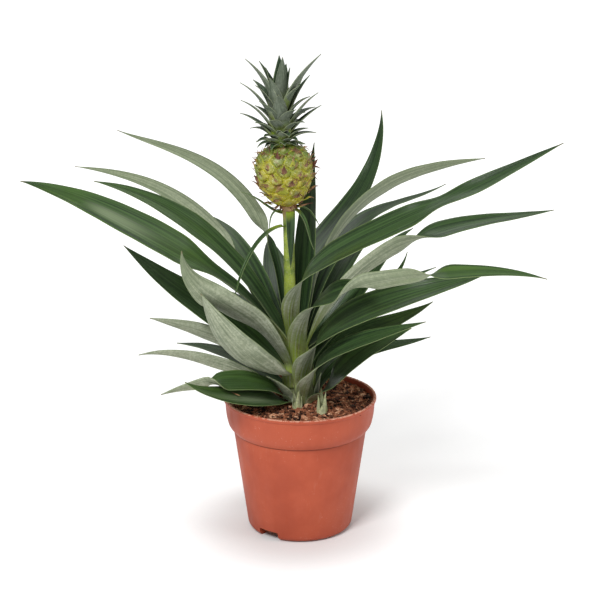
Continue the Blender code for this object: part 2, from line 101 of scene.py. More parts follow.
def mixed(share, a, b):     # the node's colours are its inputs 6 and 7
    return addNode(share.id_data, "Mix", share, *[None] * 5, a, b, data_type="RGBA").outputs[2]


# lays one colour over another: share first where value is low, share last where it is high
def over(colour, other, value, low, high, first=0.0, last=1.0):
    return mixed(ramp(value, low, high, first, last), colour, other)


def noiseTexture(place, scale, detail=3, roughness=0.55):
    return addNode(place.id_data, "TexNoise", place, None, scale, detail, roughness).outputs[0]


def objectPlace(tree):
    return addNode(tree, "TexCoord").outputs["Object"]


def drawnOut(place, share):     # a pattern that runs up and down
    return addNode(place.id_data, "Mapping", place, None, None, (1, 1, share)).outputs[0]


def bladePlace(tree):
    return addNode(tree, "UVMap", uv_map="blade").outputs[0]


def attribute(tree, name):
    return addNode(tree, "Attribute", attribute_name=name).outputs["Fac"]


def split(place):
    return addNode(place.id_data, "SeparateXYZ", place).outputs


def joined(x, y, z):
    return addNode(x.id_data, "CombineXYZ", x, y, z).outputs[0]


def surface(shader, colour, roughness, shine=0.5):
    for name, value in (("Base Color", colour), ("Roughness", roughness), ("Specular IOR Level", shine)):
        feed(shader.inputs[name], value)


def bumped(shader, height, strength, depth):
    made = addNode(shader.id_data, "Bump", strength, depth * mm)
    feed(made.inputs["Height"], height)
    feed(shader.inputs["Normal"], made.outputs[0])


# A leaf side. looks holds its colours; the uv runs across and along the blade, tone goes from deep to
# bright green, and a tone past 1 paints a pale sheen band that stands in for a soft highlight.
def bladeMaterial(name, looks):
    made, tree, shader = newMaterial(name)
    across, along, _ = split(bladePlace(tree))
    tone = attribute(tree, "tone")
    shift = times(attribute(tree, "seed"), 43.0)

    def lengthwise(wide, long, detail):
        return noiseTexture(joined(times(across, wide), times(along, long), shift), 1.0, detail, 0.6)

    fine = lengthwise(looks["lines"], 3.0, 2)
    streaks = lengthwise(looks["lines"] * 0.28, 1.6, 3)
    bands = lengthwise(3.2, 1.0, 2)
    patches = noiseTexture(objectPlace(tree), 85, 4, 0.62)
    felt = noiseTexture(objectPlace(tree), 520, 4, 0.7)
    level = split(objectPlace(tree))[2]

    colour = over(looks["dark"], looks["light"], plus(times(fine, 0.3), times(streaks, 0.7)), 0.40, 0.62)
    glow = times(ramp(bands, 0.45, 0.68, 0.3, 1.0), ramp(tone, 0.1, 1.0, 0, 0.7))
    glow = times(glow, ramp(tone, 0.9, 1.4, 1.0, 0.35))     # a tone past 1 gets the painted sheen band instead, a pale stripe standing in for a highlight
    colour = mixed(glow, colour, looks["bright"])
    start, end, least, most = looks["bloomReach"]
    haze = times(ramp(along, start, end, most, least), ramp(plus(streaks, patches), 0.75, 1.2, 0.3, 1.0))
    haze = times(haze, ramp(level, 0.18, 0.26, 1.0, looks["highBloom"]))
    colour = mixed(haze, colour, looks["bloom"])
    colour = over(colour, looks["fleck"], felt, 0.35, 0.7, 0, looks["felt"])
    near = plus(along, times(streaks, 0.3))
    fresh = times(ramp(near, 0.14, 0.14 + looks["footReach"], 0.95, 0),
                  ramp(level, 0.104, 0.135, 0.4, 1.0))     # the low leaves are greyer at the foot
    colour = mixed(fresh, colour, looks["foot"])
    rust = times(ramp(fine, 0.48, 0.60, 0, 0.85), ramp(fresh, 0.1, 0.5))
    colour = mixed(times(rust, ramp(patches, 0.44, 0.58)), colour, looks["rust"])
    # painted highlight: a pale sheen band down the middle of leaves whose tone passes 1
    paintedSheen = ramp(distance(plus(across, times(streaks, 0.3)), 0.58), 0.04, 0.3, 1, 0)
    colour = mixed(times(paintedSheen, ramp(tone, 1.0, 1.6, 0, 0.6)), colour, looks["paintedSheen"])
    colour = over(colour, looks["margin"], distance(times(across, 2.0), 1.0), 0.93, 0.985, 0, 0.6)
    colour = over(colour, looks["tip"], plus(along, times(patches, 0.03)), 0.992, 1.015, 0, 0.8)

    dull = plus(haze, times(fine, 0.5))
    surface(shader, colour, ramp(dull, 0.2, 1.2, looks["gloss"], looks["gloss"] + 0.25), looks["shine"])
    bumped(shader, plus(times(fine, 0.7), streaks), looks["relief"], 0.25)
    return made


def rimMaterial(name, colour, dry):
    made, tree, shader = newMaterial(name)
    surface(shader, over(colour, dry, noiseTexture(objectPlace(tree), 240), 0.5, 0.75, 0, 0.6), 0.55, 0.3)
    return made


# papery little bract: green foot, flushed middle, dry tip
def paperMaterial(name, looks):
    made, tree, shader = newMaterial(name)
    across, along, _ = split(bladePlace(tree))
    shift = times(attribute(tree, "seed"), 51.0)
    flecks = noiseTexture(joined(times(across, 9.0), times(along, 4.0), shift), 1.0, 4, 0.7)
    flushed = over([value * 0.6 for value in looks["flushed"]], [value * 1.9 for value in looks["flushed"]],
                   flecks, 0.45, 0.62)
    reach = plus(plus(along, swing(flecks, 0.6)), swing(attribute(tree, "tone"), 0.7))
    colour = over(over(looks["green"], flushed, reach, 0.05, 0.38), looks["dry"], reach, 0.5, 0.95)
    surface(shader, colour, 0.6)
    bumped(shader, flecks, 0.6, 0.2)
    return made


# small helpers for meshes

# a smooth curve through (place, value) points
def through(points, at):
    places, values = np.array(points, float).T
    slopes = np.gradient(values, places)
    at = np.clip(at, places[0], places[-1])
    k = np.clip(np.searchsorted(places, at, side="right") - 1, 0, len(places) - 2)
    span = places[k + 1] - places[k]
    u = (at - places[k]) / span
    return (values[k] * (1 - ease(u)) + values[k + 1] * ease(u)
            + span * u * (1 - u) * (slopes[k] * (1 - u) - slopes[k + 1] * u))


def ease(x):
    x = np.clip(x, 0, 1)
    return x * x * (3 - 2 * x)


# eased from one (place, value) key to the next
def keyed(keys, along):
    value = np.full(len(along), float(keys[0][1]))
    for (start, low), (end, high) in zip(keys, keys[1:]):
        value = np.where(along > start, low + (high - low) * ease((along - start) / (end - start)), value)
    return value


# a Bezier blend of the controls
def blendOf(controls, along):
    n = len(controls) - 1
    return sum(math.comb(n, i) * along ** i * (1 - along) ** (n - i) * value
               for i, value in enumerate(controls))


def outwards(heading):
    return Vector((math.cos(math.radians(heading)), math.sin(math.radians(heading)), 0))


def linked(name, data):
    made = bpy.data.objects.new(name, data)
    bpy.context.scene.collection.objects.link(made)
    return made


def meshFrom(name, bm):
    mesh = bpy.data.meshes.new(name)
    bm.to_mesh(mesh)
    bm.free()
    return mesh


# from a bmesh in millimetres to a piece in metres that rides on the plant's one body
def finishPiece(name, bm, materials, nodes, smoothAngle=80):
    for vert in bm.verts:
        vert.co *= mm
    mesh = meshFrom(name, bm)
    for made in materials:
        mesh.materials.append(made)
    mesh.shade_smooth()
    mesh.set_sharp_from_angle(angle=math.radians(smoothAngle))
    piece = linked(name, mesh)
    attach(piece, "root")
    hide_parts(*nodes)
    return piece


# spin a (radius, z) outline round Z
def spun(outline, steps):
    bm = bmesh.new()
    ring = [bm.verts.new((radius, 0, z)) for radius, z in outline]
    edges = [bm.edges.new(pair) for pair in zip(ring, ring[1:])]
    bmesh.ops.spin(bm, geom=ring + edges, axis=(0, 0, 1), cent=(0, 0, 0), angle=2 * math.pi,
                   steps=steps, use_merge=True)
    bmesh.ops.remove_doubles(bm, verts=bm.verts, dist=0.0005)
    bmesh.ops.recalc_face_normals(bm, faces=bm.faces)
    return bm


# camera, floor and light

camera = {"place": (0.0, -1224.2, 545.4), "tilt": 16.377, "lens": 99.06, "sensor": 36.0, "sight": 20000.0}


def makeCamera():
    data = bpy.data.cameras.new("camera")
    data.lens = camera["lens"]
    data.sensor_width = camera["sensor"]
    data.clip_end = camera["sight"] * mm
    made = linked("camera", data)
    made.location = Vector(camera["place"]) * mm
    made.rotation_euler = (math.radians(90 - camera["tilt"]), 0, 0)
    bpy.context.scene.camera = made


studio = {
    "floorSize": 9000.0,
    "floorDrop": 0.2,
    "floorColour": (0.82, 0.82, 0.82),
    "grain": 0.985,     # brightness of the floor's darker grains
    "glow": ((0.045, 0.115, 0.0, 0.36), (0.2, 1.4, 0.0, 0.45)),     # from, to (m), first, last; the near fade is a painted contact shadow round the pot
    "sky": (1.0, 1.0, 1.0),
    "skyLight": 0.36,
    "backdrop": (0.985, 0.985, 0.985),
    "lamps": (     # place, aimed at, size across and high, watts
        ((-520, -1150, 1450), (0, 0, 200), (560, 560), 23.0),
        ((1050, -500, 900), (0, 0, 200), (600, 900), 3.5),
        ((150, 850, 1500), (0, 0, 250), (1500, 700), 7.0),
    ),
}


def floorMaterial():
    made, tree, shader = newMaterial("floorPaint")
    grain = noiseTexture(objectPlace(tree), 900, 2)
    darker = [value * studio["grain"] for value in studio["floorColour"]]
    surface(shader, over(studio["floorColour"], darker, grain, 0.3, 0.7), 0.9, 0.1)
    x, y, _ = split(objectPlace(tree))
    away = calc("SQRT", plus(times(x, x), times(y, y)))
    # the glow fades to nothing under and close round the pot: a painted contact shadow
    near, far = [ramp(away, *reach) for reach in studio["glow"]]
    feed(shader.inputs["Emission Color"], (1, 1, 1))
    feed(shader.inputs["Emission Strength"], plus(near, far))
    return made


def makeStudio():
    bm = bmesh.new()
    bmesh.ops.create_grid(bm, x_segments=1, y_segments=1, size=studio["floorSize"] / 2 * mm)
    floor = linked("floor", meshFrom("floor", bm))
    floor.location = (0, 0, -studio["floorDrop"] * mm)
    floor.data.materials.append(floorMaterial())

    world = bpy.data.worlds.new("studio")
    bpy.context.scene.world = world
    world.use_nodes = True
    tree = world.node_tree
    sky = tree.nodes["Background"]
    feed(sky.inputs["Color"], studio["sky"])
    feed(sky.inputs["Strength"], studio["skyLight"])
    seen = addNode(tree, "Background", studio["backdrop"])
    direct = addNode(tree, "LightPath").outputs["Is Camera Ray"]
    both = addNode(tree, "MixShader", direct, sky.outputs[0], seen.outputs[0])
    feed(tree.nodes["World Output"].inputs["Surface"], both.outputs[0])

    for k, (place, target, size, watts) in enumerate(studio["lamps"]):
        data = bpy.data.lights.new("lamp%d" % k, "AREA")
        data.shape = "RECTANGLE"
        data.size, data.size_y = size[0] * mm, size[1] * mm
        data.energy = watts
        lamp = linked("lamp%d" % k, data)
        lamp.location = Vector(place) * mm
        lamp.rotation_euler = (Vector(target) - Vector(place)).to_track_quat("-Z", "Y").to_euler()
    bpy.context.scene.view_settings.view_transform = "Standard"
    print("studio ready")


# stem and stalk

stem = {
    "line": (     # x, z, radius from the soil to the fruit
        (0.0, 92.3, 12.0), (0.0, 104.0, 12.5), (0.0, 112.0, 13.0), (-0.9, 125.0, 12.0),
        (-2.0, 140.0, 9.5), (-3.3, 152.0, 7.2), (-4.6, 162.0, 5.6), (-5.8, 171.0, 4.9),
        (-7.7, 186.0, 4.5), (-8.1, 205.0, 4.3), (-8.4, 230.0, 4.2), (-8.6, 252.0, 4.5),
    ),
    "topRadius": 5.35, "topGap": 0.3,
    "sides": 48, "ringStep": 1.6,
    "scars": 45, "scarHeights": (106.3, 148.3), "scarRise": 0.7, "scarLength": 9.0, "scarTurn": 62.0,
    "sunk": 0.35, "sunkUpTo": 165.0,     # leaves room for the scars
    "dark": (0.10, 0.165, 0.025), "light": (0.24, 0.32, 0.05), "fresh": (0.40, 0.48, 0.06),
    "dots": (0.40, 0.43, 0.24), "neck": (0.42, 0.22, 0.12), "scar": (0.12, 0.07, 0.035),
    "huskDark": (0.10, 0.12, 0.05), "huskLight": (0.24, 0.26, 0.13),
}
fruit = {
    "foot": (-8.7, 0.0, 261.0), "top": (-14.2, 0.0, 306.4),
    "outline": ((0.0, 6.0), (0.09, 10.8), (0.25, 16.0), (0.45, 19.2), (0.7, 19.9), (0.88, 17.4),
                (1.0, 10.5)),
    "sides": 200, "rings": 130,
    "eyes": 58, "eyeRise": 2.2, "eyeGap": 3.6, "eyeCore": 4.4, "dimple": 1.6, "keel": 1.5,
    "green": (0.11, 0.16, 0.014), "yellow": (0.38, 0.33, 0.014),
    "grooveGreen": (0.22, 0.29, 0.004), "grooveYellow": (0.58, 0.52, 0.006), "paintedCreaseShade": (0.09, 0.085, 0.008),
    "grey": (0.36, 0.38, 0.17), "speckle": (0.68, 0.64, 0.34), "blush": (0.22, 0.10, 0.045),
}


def fruitAxes():
    up = (Vector(fruit["top"]) - Vector(fruit["foot"])).normalized()
    return up, Vector((0, 1, 0)).cross(up).normalized()


def stemAt(z):
    x, radius = [np.interp(z, [point[1] for point in stem["line"]], [point[k] for point in stem["line"]])
                 for k in (0, 2)]
    return Vector((x, 0, z)), float(radius)


# a place that stands off the stem's skin
def offStem(z, heading, gap):
    centre, radius = stemAt(z)
    return centre + (radius + gap) * outwards(heading)


def stemMaterial():
    made, tree, shader = newMaterial("stalkSkin")
    place = objectPlace(tree)
    level = split(place)[2]
    fibres = noiseTexture(drawnOut(place, 0.12), 900, 3, 0.6)
    dots = noiseTexture(place, 700, 3, 0.6)
    green = over(stem["dark"], stem["light"], fibres, 0.35, 0.65)
    green = over(green, stem["fresh"], noiseTexture(place, 90, 3, 0.6), 0.4, 0.62, 0, 0.7)
    green = over(green, stem["dots"], dots, 0.56, 0.66, 0, 0.7)
    green = over(green, stem["neck"], level, 0.246, 0.258, 0, 0.8)
    husk = over(stem["huskDark"], stem["huskLight"], fibres, 0.35, 0.7)
    colour = over(green, husk, level, 0.150, 0.185, 1, 0)
    colour = over(colour, stem["scar"], attribute(tree, "scar"), 0.55, 1.0, 0, 0.75)
    surface(shader, colour, 0.55)
    bumped(shader, plus(fibres, dots), 0.6, 0.35)
    return made


def makeStem():
    rings = []
    for z in np.arange(stem["line"][0][1], stem["line"][-1][1], stem["ringStep"]):
        centre, radius = stemAt(z)
        radius -= stem["sunk"] if z <= stem["sunkUpTo"] else 0
        rings.append((centre, radius, z, Vector((1, 0, 0))))
    up, side = fruitAxes()
    rings.append((Vector(fruit["foot"]) - up * stem["topGap"], stem["topRadius"], fruit["foot"][2], side))
    rng = random.Random(3)
    scars = [(height + rng.uniform(-0.4, 0.4), k * goldenAngle)
             for k, height in enumerate(np.linspace(*stem["scarHeights"], stem["scars"]))]

    bm = spun([(1, k) for k in range(len(rings))], stem["sides"])
    bmesh.ops.holes_fill(bm, edges=bm.edges)
    layer = bm.verts.layers.float.new("scar")
    for vert in bm.verts:
        centre, radius, z, side = rings[round(vert.co.z)]
        turn = math.atan2(vert.co.y, vert.co.x)
        lift = 0.0
        for height, facing in scars:
            if 0 < height - z < stem["scarLength"]:
                off = ((math.degrees(turn) - facing + 180) % 360 - 180) / stem["scarTurn"]
                lift = max(lift, (1 - off ** 2) * (1 - (height - z) / stem["scarLength"]))
        away = side * math.cos(turn) + Vector((0, math.sin(turn), 0))
        vert[layer] = lift
        vert.co = centre + away * (radius + stem["scarRise"] * lift)
    bmesh.ops.recalc_face_normals(bm, faces=bm.faces)
    finishPiece("stemAndStalk", bm, [stemMaterial()], ["stem"], 60)
    print("stem ready")


# leaves

leafShape = {
    "thickness": 0.8,
    "marginThickness": 0.4,      # share of the thickness left at the margins
    "standOff": 0.95,            # from the stem's skin to the middle of a leaf's thickness
    "clasp": (0.3, 2.6),         # least and most of the stem's round that a foot covers, in radians
    "claspEnds": 0.2,            # share of the length where the foot has become the folded blade
    "fold": 70.0, "unfolding": 0.45,
    "taper": 1.7, "tipWidth": 0.5,
    "columns": 12, "rowLength": 3.6,
    "ripple": 0.22, "rippleLength": 64.0,
    "sheathDepth": 10.0,         # how far a leaf's foot runs on down the stem
    "sheathRows": 4, "sheathLean": 0.8, "sheathNarrowing": 0.3,
}


# foot is a height on the stem, climb and heading blend from foot to tip, and roll and tones are keys
# along the leaf: roll starts from 0, and a tone is 0 for deep to 1 for bright green; past 1 it paints a
# pale sheen band that stands in for a highlight
def leaf(foot, length, width, climb, heading, roll=(), belly=0.42, waist=0.5, tones=None):
    return dict(foot=foot, length=length, width=width, climb=climb, heading=heading,
                roll=((0, 0), *roll), belly=belly, waist=waist, tones=tones)


leaves = {
    # tones past 1 here paint a pale sheen band down the blade, a painted highlight
    "leaf_01": leaf(105, 100, 26, (29, 5, 8, 41), (224, 215, 205), ((0.2, -25), (1, -20)),
                    tones=((0, 0.8), (0.35, 1.4), (0.8, 1.2), (1, 0.9))),
    "leaf_02": leaf(106, 134, 30, (47, 49, 30, 29), (-42, -59, -41), ((0.3, 50),)),
    "leaf_03": leaf(106, 107, 11, (76, 19, -1, 16), (15, 2, 1), ((0.3, 50),)),
    "leaf_04": leaf(107, 113, 22, (56, -2, 5, -13), (219, 203, 200), ((0.15, -25), (0.55, -30), (0.7, 55)),
                    tones=((0, 0.5), (1, 0.4))),
    "leaf_05": leaf(109, 112, 22, (34, 12, 0, -8), (98, 96, 92)),
    "leaf_06": leaf(110, 112, 22, (34, 14, 0, -8), (150, 146, 142)),
    "leaf_07": leaf(111, 115, 22, (36, 16, 2, -4), (54, 50, 48)),
    "leaf_08": leaf(117, 117, 14, (21, 22, 28, -11), (188, 189, 189), ((0.4, 60),)),
    "leaf_09": leaf(119, 150, 26, (50, 25, 5, -12), (128, 124, 120)),
    "leaf_10": leaf(124, 155, 26, (55, 30, 8, -10), (76, 74, 70)),
    "leaf_11": leaf(125, 114, 20, (36, 27, 17, 15), (169, 181, 191), ((0.3, 60),), waist=0.58),
    "leaf_12": leaf(112, 158, 19, (57, 37, 22, 20), (-81, -56, -34, -17), ((0.3, 42),), waist=0.59),
    "leaf_13": leaf(127, 121, 20, (65, 21, 19, 39), (-16, -33, -22), ((0.3, 45),),
                    tones=((0, 0.2), (0.5, 0.3), (0.8, 1.0))),
    "leaf_14": leaf(127, 68, 20, (45, 34, 30, 33), (29, 26, 24), ((0.3, 20),)),
    "leaf_15": leaf(128, 165, 26, (57, 32, 14, -3), (107, 95, 97)),
    "leaf_16": leaf(131, 121, 12, (58, 26, 14, 76), (42, 10, 24), ((0.3, 20),)),
    "leaf_17": leaf(122, 205, 31, (63, 41, 16, 7), (-85, -37, -13, 26), ((0.3, 37),), waist=0.37),
    "leaf_18": leaf(127, 114, 41, (20, 36, 63, 63), (225, 215, 213, 201), ((0.3, 21), (1, 24)), waist=0.39),
    "leaf_19": leaf(134, 125, 14, (60, 41, 23, 22), (20, 8, 1), ((0.3, 20),)),
    "leaf_20": leaf(132, 156, 26, (46, 28, 37, 43), (176, 184, 180), ((0.4, -45),), waist=0.66),
    "leaf_21": leaf(135, 145, 29, (62, 51, -10, 92), (224, 208, 210, 220),
                    ((0.15, 3), (0.5, 35), (0.8, 89)), waist=0.35),
    "leaf_22": leaf(139, 185, 24, (57, 57, 14, -10), (136, 116, 125)),
    "leaf_23": leaf(139, 170, 24, (58, 48, 12, 6), (58, 60, 58)),
    "leaf_24": leaf(147, 127, 22, (38, 53, 55, 23), (15, 42, 23), ((0.3, 20),)),
    # tones past 1 here paint a pale sheen band down the blade, a painted highlight
    "leaf_25": leaf(148, 250, 28, (67, 19, 44, 13), (206, 189, 189),
                    ((0.2, -14), (0.34, -14), (0.5, -45), (1, -50)), belly=0.55,
                    tones=((0, 0.3), (0.3, 0.4), (0.5, 1.1), (0.72, 1.5), (0.9, 0.7), (1, 0.2))),
    "leaf_26": leaf(149, 250, 30, (50, 5, 15, 97), (97, 42, 49)),
    "leaf_27": leaf(149, 233, 24, (69, 42, -7, 9), (2, 8, 9), ((0.15, -40), (0.45, -50), (0.62, 25))),
    "leaf_28": leaf(152, 232, 12, (56, 67, 9, 6), (155, 141, 179), ((0.3, 20), (0.45, 120)), belly=0.5),
    "leaf_29": leaf(152, 239, 20, (69, 32, -23, 16), (59, 64, 37)),
    "leaf_30": leaf(154, 199, 24, (65, 54, 34, 11), (183, 178, 181), ((0.1, -20), (0.4, -20), (0.6, -35))),
    "leaf_31": leaf(155, 249, 22, (77, 41, 1, 4), (55, 49, 18), ((0.3, -60),),
                    tones=((0, 0.9), (0.5, 0.4), (1, 0.3))),
    "leaf_32": leaf(141, 281, 20, (78, -5, 32, -5), (-92, -37, -30, -36),
                    ((0.22, 25), (0.36, 52), (0.5, -50), (0.62, -50), (0.75, 45)), waist=0.8,
                    tones=((0, 0.5), (0.3, 0.2), (0.7, 0.65), (1, 0.4))),
    "leaf_33": leaf(158, 148, 20, (78, 84, 84, 81), (62, 58, 50)),
    "leaf_34": leaf(158, 226, 12.5, (78, 98, -7, 23), (142, 151, 187), ((0.3, 0), (0.45, 130)), belly=0.5),
    "leaf_35": leaf(158, 303, 24, (68, 18, 29, 24), (-104, -42, 10, 11),
                    ((0.3, 46), (0.6, 40), (0.69, 14), (0.79, 34), (1, 36)), belly=0.46, waist=0.48,
                    tones=((0, 0.3), (0.5, 0.4), (1, 0.2))),
    "sheath_1": leaf(110, 30, 17, (62, 44, 32), (226, 215, 213), belly=0.3, waist=0.9),
    "sheath_2": leaf(109, 19, 16, (86, 80, 83, 73), (345, 348, 350), belly=0.3, waist=0.9),
}
upperSide = {
    "dark": (0.004, 0.015, 0.005), "light": (0.038, 0.084, 0.020), "bright": (0.12, 0.23, 0.035),
    "bloom": (0.09, 0.135, 0.085), "bloomReach": (0.02, 0.30, 0.08, 0.4),   # from, to, last and first share
    "highBloom": 1.0, "fleck": (0.05, 0.085, 0.035), "felt": 0.25,
    # the sheen band's colour is a painted highlight on leaves whose tone passes 1
    "foot": (0.26, 0.36, 0.02), "footReach": 0.12, "rust": (0.10, 0.055, 0.018), "paintedSheen": (0.27, 0.33, 0.20),
    "margin": (0.17, 0.24, 0.08), "tip": (0.16, 0.12, 0.06),
    "gloss": 0.3, "shine": 0.26, "lines": 55.0, "relief": 0.55,
}
underSide = {
    **upperSide, "dark": (0.10, 0.135, 0.072), "light": (0.24, 0.28, 0.17), "bright": (0.20, 0.28, 0.10),
    "bloom": (0.52, 0.55, 0.415), "bloomReach": (0.1, 1.0, 0.55, 0.95),
    "highBloom": 0.25, "fleck": (0.14, 0.17, 0.10), "felt": 0.55,
    "foot": (0.29, 0.40, 0.02), "footReach": 0.24, "margin": (0.24, 0.29, 0.15), "tip": (0.17, 0.13, 0.07),
    "gloss": 0.55, "shine": 0.25, "lines": 48.0, "relief": 0.4,
}


# points, directions and upper-side normals of a blade's middle line
def bladeLine(foot, heading, climb, length, along):
    fine = np.linspace(0, 1, 97)

    def direction(shares):
        rise = np.radians(blendOf(climb, shares))
        turn = np.radians(blendOf(heading, shares))
        way = np.stack([np.cos(rise) * np.cos(turn), np.cos(rise) * np.sin(turn), np.sin(rise)], 1)
        upper = np.stack([-np.sin(rise) * np.cos(turn), -np.sin(rise) * np.sin(turn), np.cos(rise)], 1)
        return way, upper

    foot = np.array(foot)
    way, _ = direction(fine)
    steps = (way[1:] + way[:-1]) / 2 * length / (len(fine) - 1)
    line = np.vstack([foot, foot + np.cumsum(steps, axis=0)])
    points = np.stack([np.interp(along, fine, line[:, k]) for k in range(3)], 1)
    return (points, *direction(along))


def rolled(way, upper, degrees):
    roll = np.radians(degrees)[:, None]
    return upper * np.cos(roll) + np.cross(way, upper) * np.sin(roll)


# Lays a grid along a blade's line; the section is an arc that opens upwards. tone is one number or one
# for each row, seed shifts the blade's pattern.
def bladeSheet(bm, columns, points, across, upper, width, arc, centred, tone, seed, lift=None):
    rows = len(points) - 1
    uvs = bm.loops.layers.uv.get("blade") or bm.loops.layers.uv.new("blade")
    margin, tones, seeds = [bm.verts.layers.float.get(name) or bm.verts.layers.float.new(name)
                            for name in ("marginPlace", "tone", "seed")]
    verts = bmesh.ops.create_grid(bm, x_segments=columns, y_segments=rows, size=0.5, calc_uvs=True)["verts"]
    tone = np.broadcast_to(tone, rows + 1)
    for face in {face for vert in verts for face in vert.link_faces}:
        for loop in face.loops:
            loop[uvs].uv = (loop.vert.co.x + 0.5, loop.vert.co.y + 0.5)
    for vert in verts:
        row = round((vert.co.y + 0.5) * rows)
        sideways = 2 * vert.co.x
        bend = sideways * arc[row] / 2
        bow = width[row] / arc[row]
        raised = lift(row, sideways) if lift else 0.0
        vert[margin] = abs(sideways)
        vert[tones] = tone[row]
        vert[seeds] = seed
        vert.co = Vector(points[row] + across[row] * bow * math.sin(bend)
                         + upper[row] * (bow * (centred[row] - math.cos(bend)) + raised))


# One small blade. Its fold is that of the foot and opens towards the tip, and swell is the share of the
# width at the foot and at the widest place.
def smallBlade(bm, foot, heading, climb, length, width, tone, seed, rows=6, columns=4, fold=80.0,
               opening=0.0, hollow=0.95, power=1.4, point=1.0, swell=(1.0, 1.0), widest=0.35,
               tipWidth=0.3, twist=0.0):
    along = np.linspace(0, 1, rows + 1)
    points, way, upper = bladeLine(foot, heading, climb, length, along)
    upper = rolled(way, upper, twist * along)
    full = swell[0] + (swell[1] - swell[0]) * np.sin(np.clip(along / widest, 0, 1) * math.pi / 2)
    widths = np.maximum(width * full * (1 - along ** power) ** point, tipWidth)
    bladeSheet(bm, columns, points, np.cross(way, upper), upper, widths, np.radians(fold - opening * along),
               np.full(rows + 1, hollow), tone, seed)


# gives a piece's blades their thickness, thinner at the margins; under and rim are material slots
def thicken(piece, thickness, marginShare, under=1, rim=2):
    places = np.zeros(len(piece.data.vertices), np.float32)
    piece.data.attributes["marginPlace"].data.foreach_get("value", places)
    group = piece.vertex_groups.new(name="body")
    for k, place in enumerate(places):
        group.add([k], float(1 - place ** 3), "REPLACE")
    solid = piece.modifiers.new("thickness", "SOLIDIFY")
    solid.thickness = thickness * mm
    solid.offset = 0.0
    solid.vertex_group = "body"
    solid.thickness_vertex_group = marginShare
    solid.material_offset = under
    solid.material_offset_rim = rim


def makeLeaf(node, values, materials, k):
    shape, length, belly = leafShape, values["length"], values["belly"]
    rows = max(10, round(length / shape["rowLength"]))
    along = np.linspace(0, 1, rows + 1)
    foot = offStem(values["foot"], values["heading"][0], shape["standOff"])
    points, way, upper = bladeLine(foot, values["heading"], values["climb"], length, along)
    upper = rolled(way, upper, keyed(values["roll"], along))
    swell = values["waist"] + (1 - values["waist"]) * np.sin(np.clip(along / belly, 0, 1) * math.pi / 2)
    taper = 1 - np.clip((along - belly) / (1 - belly), 0, 1) ** shape["taper"]
    width = np.maximum(values["width"] * swell * taper, shape["tipWidth"])
    folded = ease(along / shape["claspEnds"])
    reach = stemAt(values["foot"])[1] + shape["standOff"]
    clasp = float(np.clip(width[0] / reach, *shape["clasp"]))
    arc = clasp * (1 - folded) + np.radians(shape["fold"] * (1 - shape["unfolding"] * along)) * folded
    centred = 1 - ease(along / 0.15) * (1 - np.sin(arc / 2) / (arc / 2))

    out = np.array(outwards(values["heading"][0]))     # rows of the sheath, from the lowest
    below = np.arange(-shape["sheathRows"], 0) / shape["sheathRows"]
    low = [stemAt(values["foot"] + share * shape["sheathDepth"]) for share in below]
    bows = np.array([radius + shape["standOff"] * (1 + shape["sheathLean"] * share)
                     for (_, radius), share in zip(low, below)])
    narrow = clasp * (1 + shape["sheathNarrowing"] * below)
    points = np.vstack([[np.array(centre) + bow * out for (centre, _), bow in zip(low, bows)], points])
    across = np.vstack([np.tile(np.cross((0, 0, 1), -out), (len(below), 1)), np.cross(way, upper)])
    upper = np.vstack([np.tile(-out, (len(below), 1)), upper])
    width = np.append(bows * narrow, width)
    arc = np.append(narrow, arc)
    centred = np.append(np.ones(len(below)), centred)
    along = np.append(np.zeros(len(below)), along)

    rng = random.Random(100 + k)
    phases = [rng.uniform(0, 6.28) for _ in range(4)]
    deep, bright = rng.uniform(0.0, 0.4), rng.uniform(0.1, 0.5)
    tones = keyed(values["tones"] or ((0, deep), (1, bright)), along)
    waves = 2 * math.pi * length / shape["rippleLength"]

    def ripple(row, sideways):
        here = along[row]
        first, second = phases[:2] if sideways < 0 else phases[2:]
        sway = math.sin(waves * here + first) + 0.5 * math.sin(waves * 2.3 * here + second)
        return shape["ripple"] * sway * abs(sideways) ** 2 * ease(here / 0.25) * min(1, width[row] / 14)

    bm = bmesh.new()
    bladeSheet(bm, shape["columns"], points, across, upper, width, arc, centred, tones, rng.random(),
               ripple)
    name = node.replace("leaf", "leafBlade").replace("_", "")
    piece = finishPiece(name, bm, materials, [node])
    thicken(piece, shape["thickness"], shape["marginThickness"])


def makeLeaves(rim):
    materials = [bladeMaterial("leafUpperSide", upperSide), bladeMaterial("leafUnderside", underSide), rim]
    for k, (node, values) in enumerate(leaves.items()):
        makeLeaf(node, values, materials, k)
    print("leaves ready:", len(leaves))


# narrow bracts on the stalk

def bract(height, length, width, heading, climb, tone=0.6):
    return dict(height=height, length=length, width=width, heading=heading, climb=climb, tone=tone)


stalkBracts = {
    "stalk_bract_1": bract(245, 78, 6, (218, 224, 226), (5, -52, -60, -75)),
    "stalk_bract_2": bract(256, 23, 3.4, (200, 200), (55, -80, -92, -81)),
    "stalk_bract_3": bract(258, 35, 5.4, (-30, -30), (-13, -86, -78, -61)),
    "stalk_bract_4": bract(258, 28, 7, (26, 14), (19, -43, -66, -57)),
    "stalk_bract_5": bract(254, 36, 5, (165, 165), (5, 50, 35, 8)),
    "stalk_bract_6": bract(257, 44, 8, (282, 280), (-84, -88, -88), tone=0.1),
}
bractShape = {
    "gap": 0.6, "thickness": 0.55, "rowLength": 2.0,
    "blade": dict(columns=6, fold=95.0, hollow=0.97, power=1.9, tipWidth=0.4),
}
bractUpper = {
    **upperSide, "bright": (0.10, 0.21, 0.03), "bloomReach": (0.0, 0.4, 0.05, 0.3), "footReach": 0.2,
    "lines": 16.0,
}
bractUnder = {
    **underSide, "dark": (0.03, 0.07, 0.015), "light": (0.09, 0.16, 0.045), "bright": (0.14, 0.24, 0.05),
    "bloom": (0.19, 0.25, 0.14), "fleck": (0.07, 0.11, 0.04), "gloss": 0.42, "lines": 16.0,
}


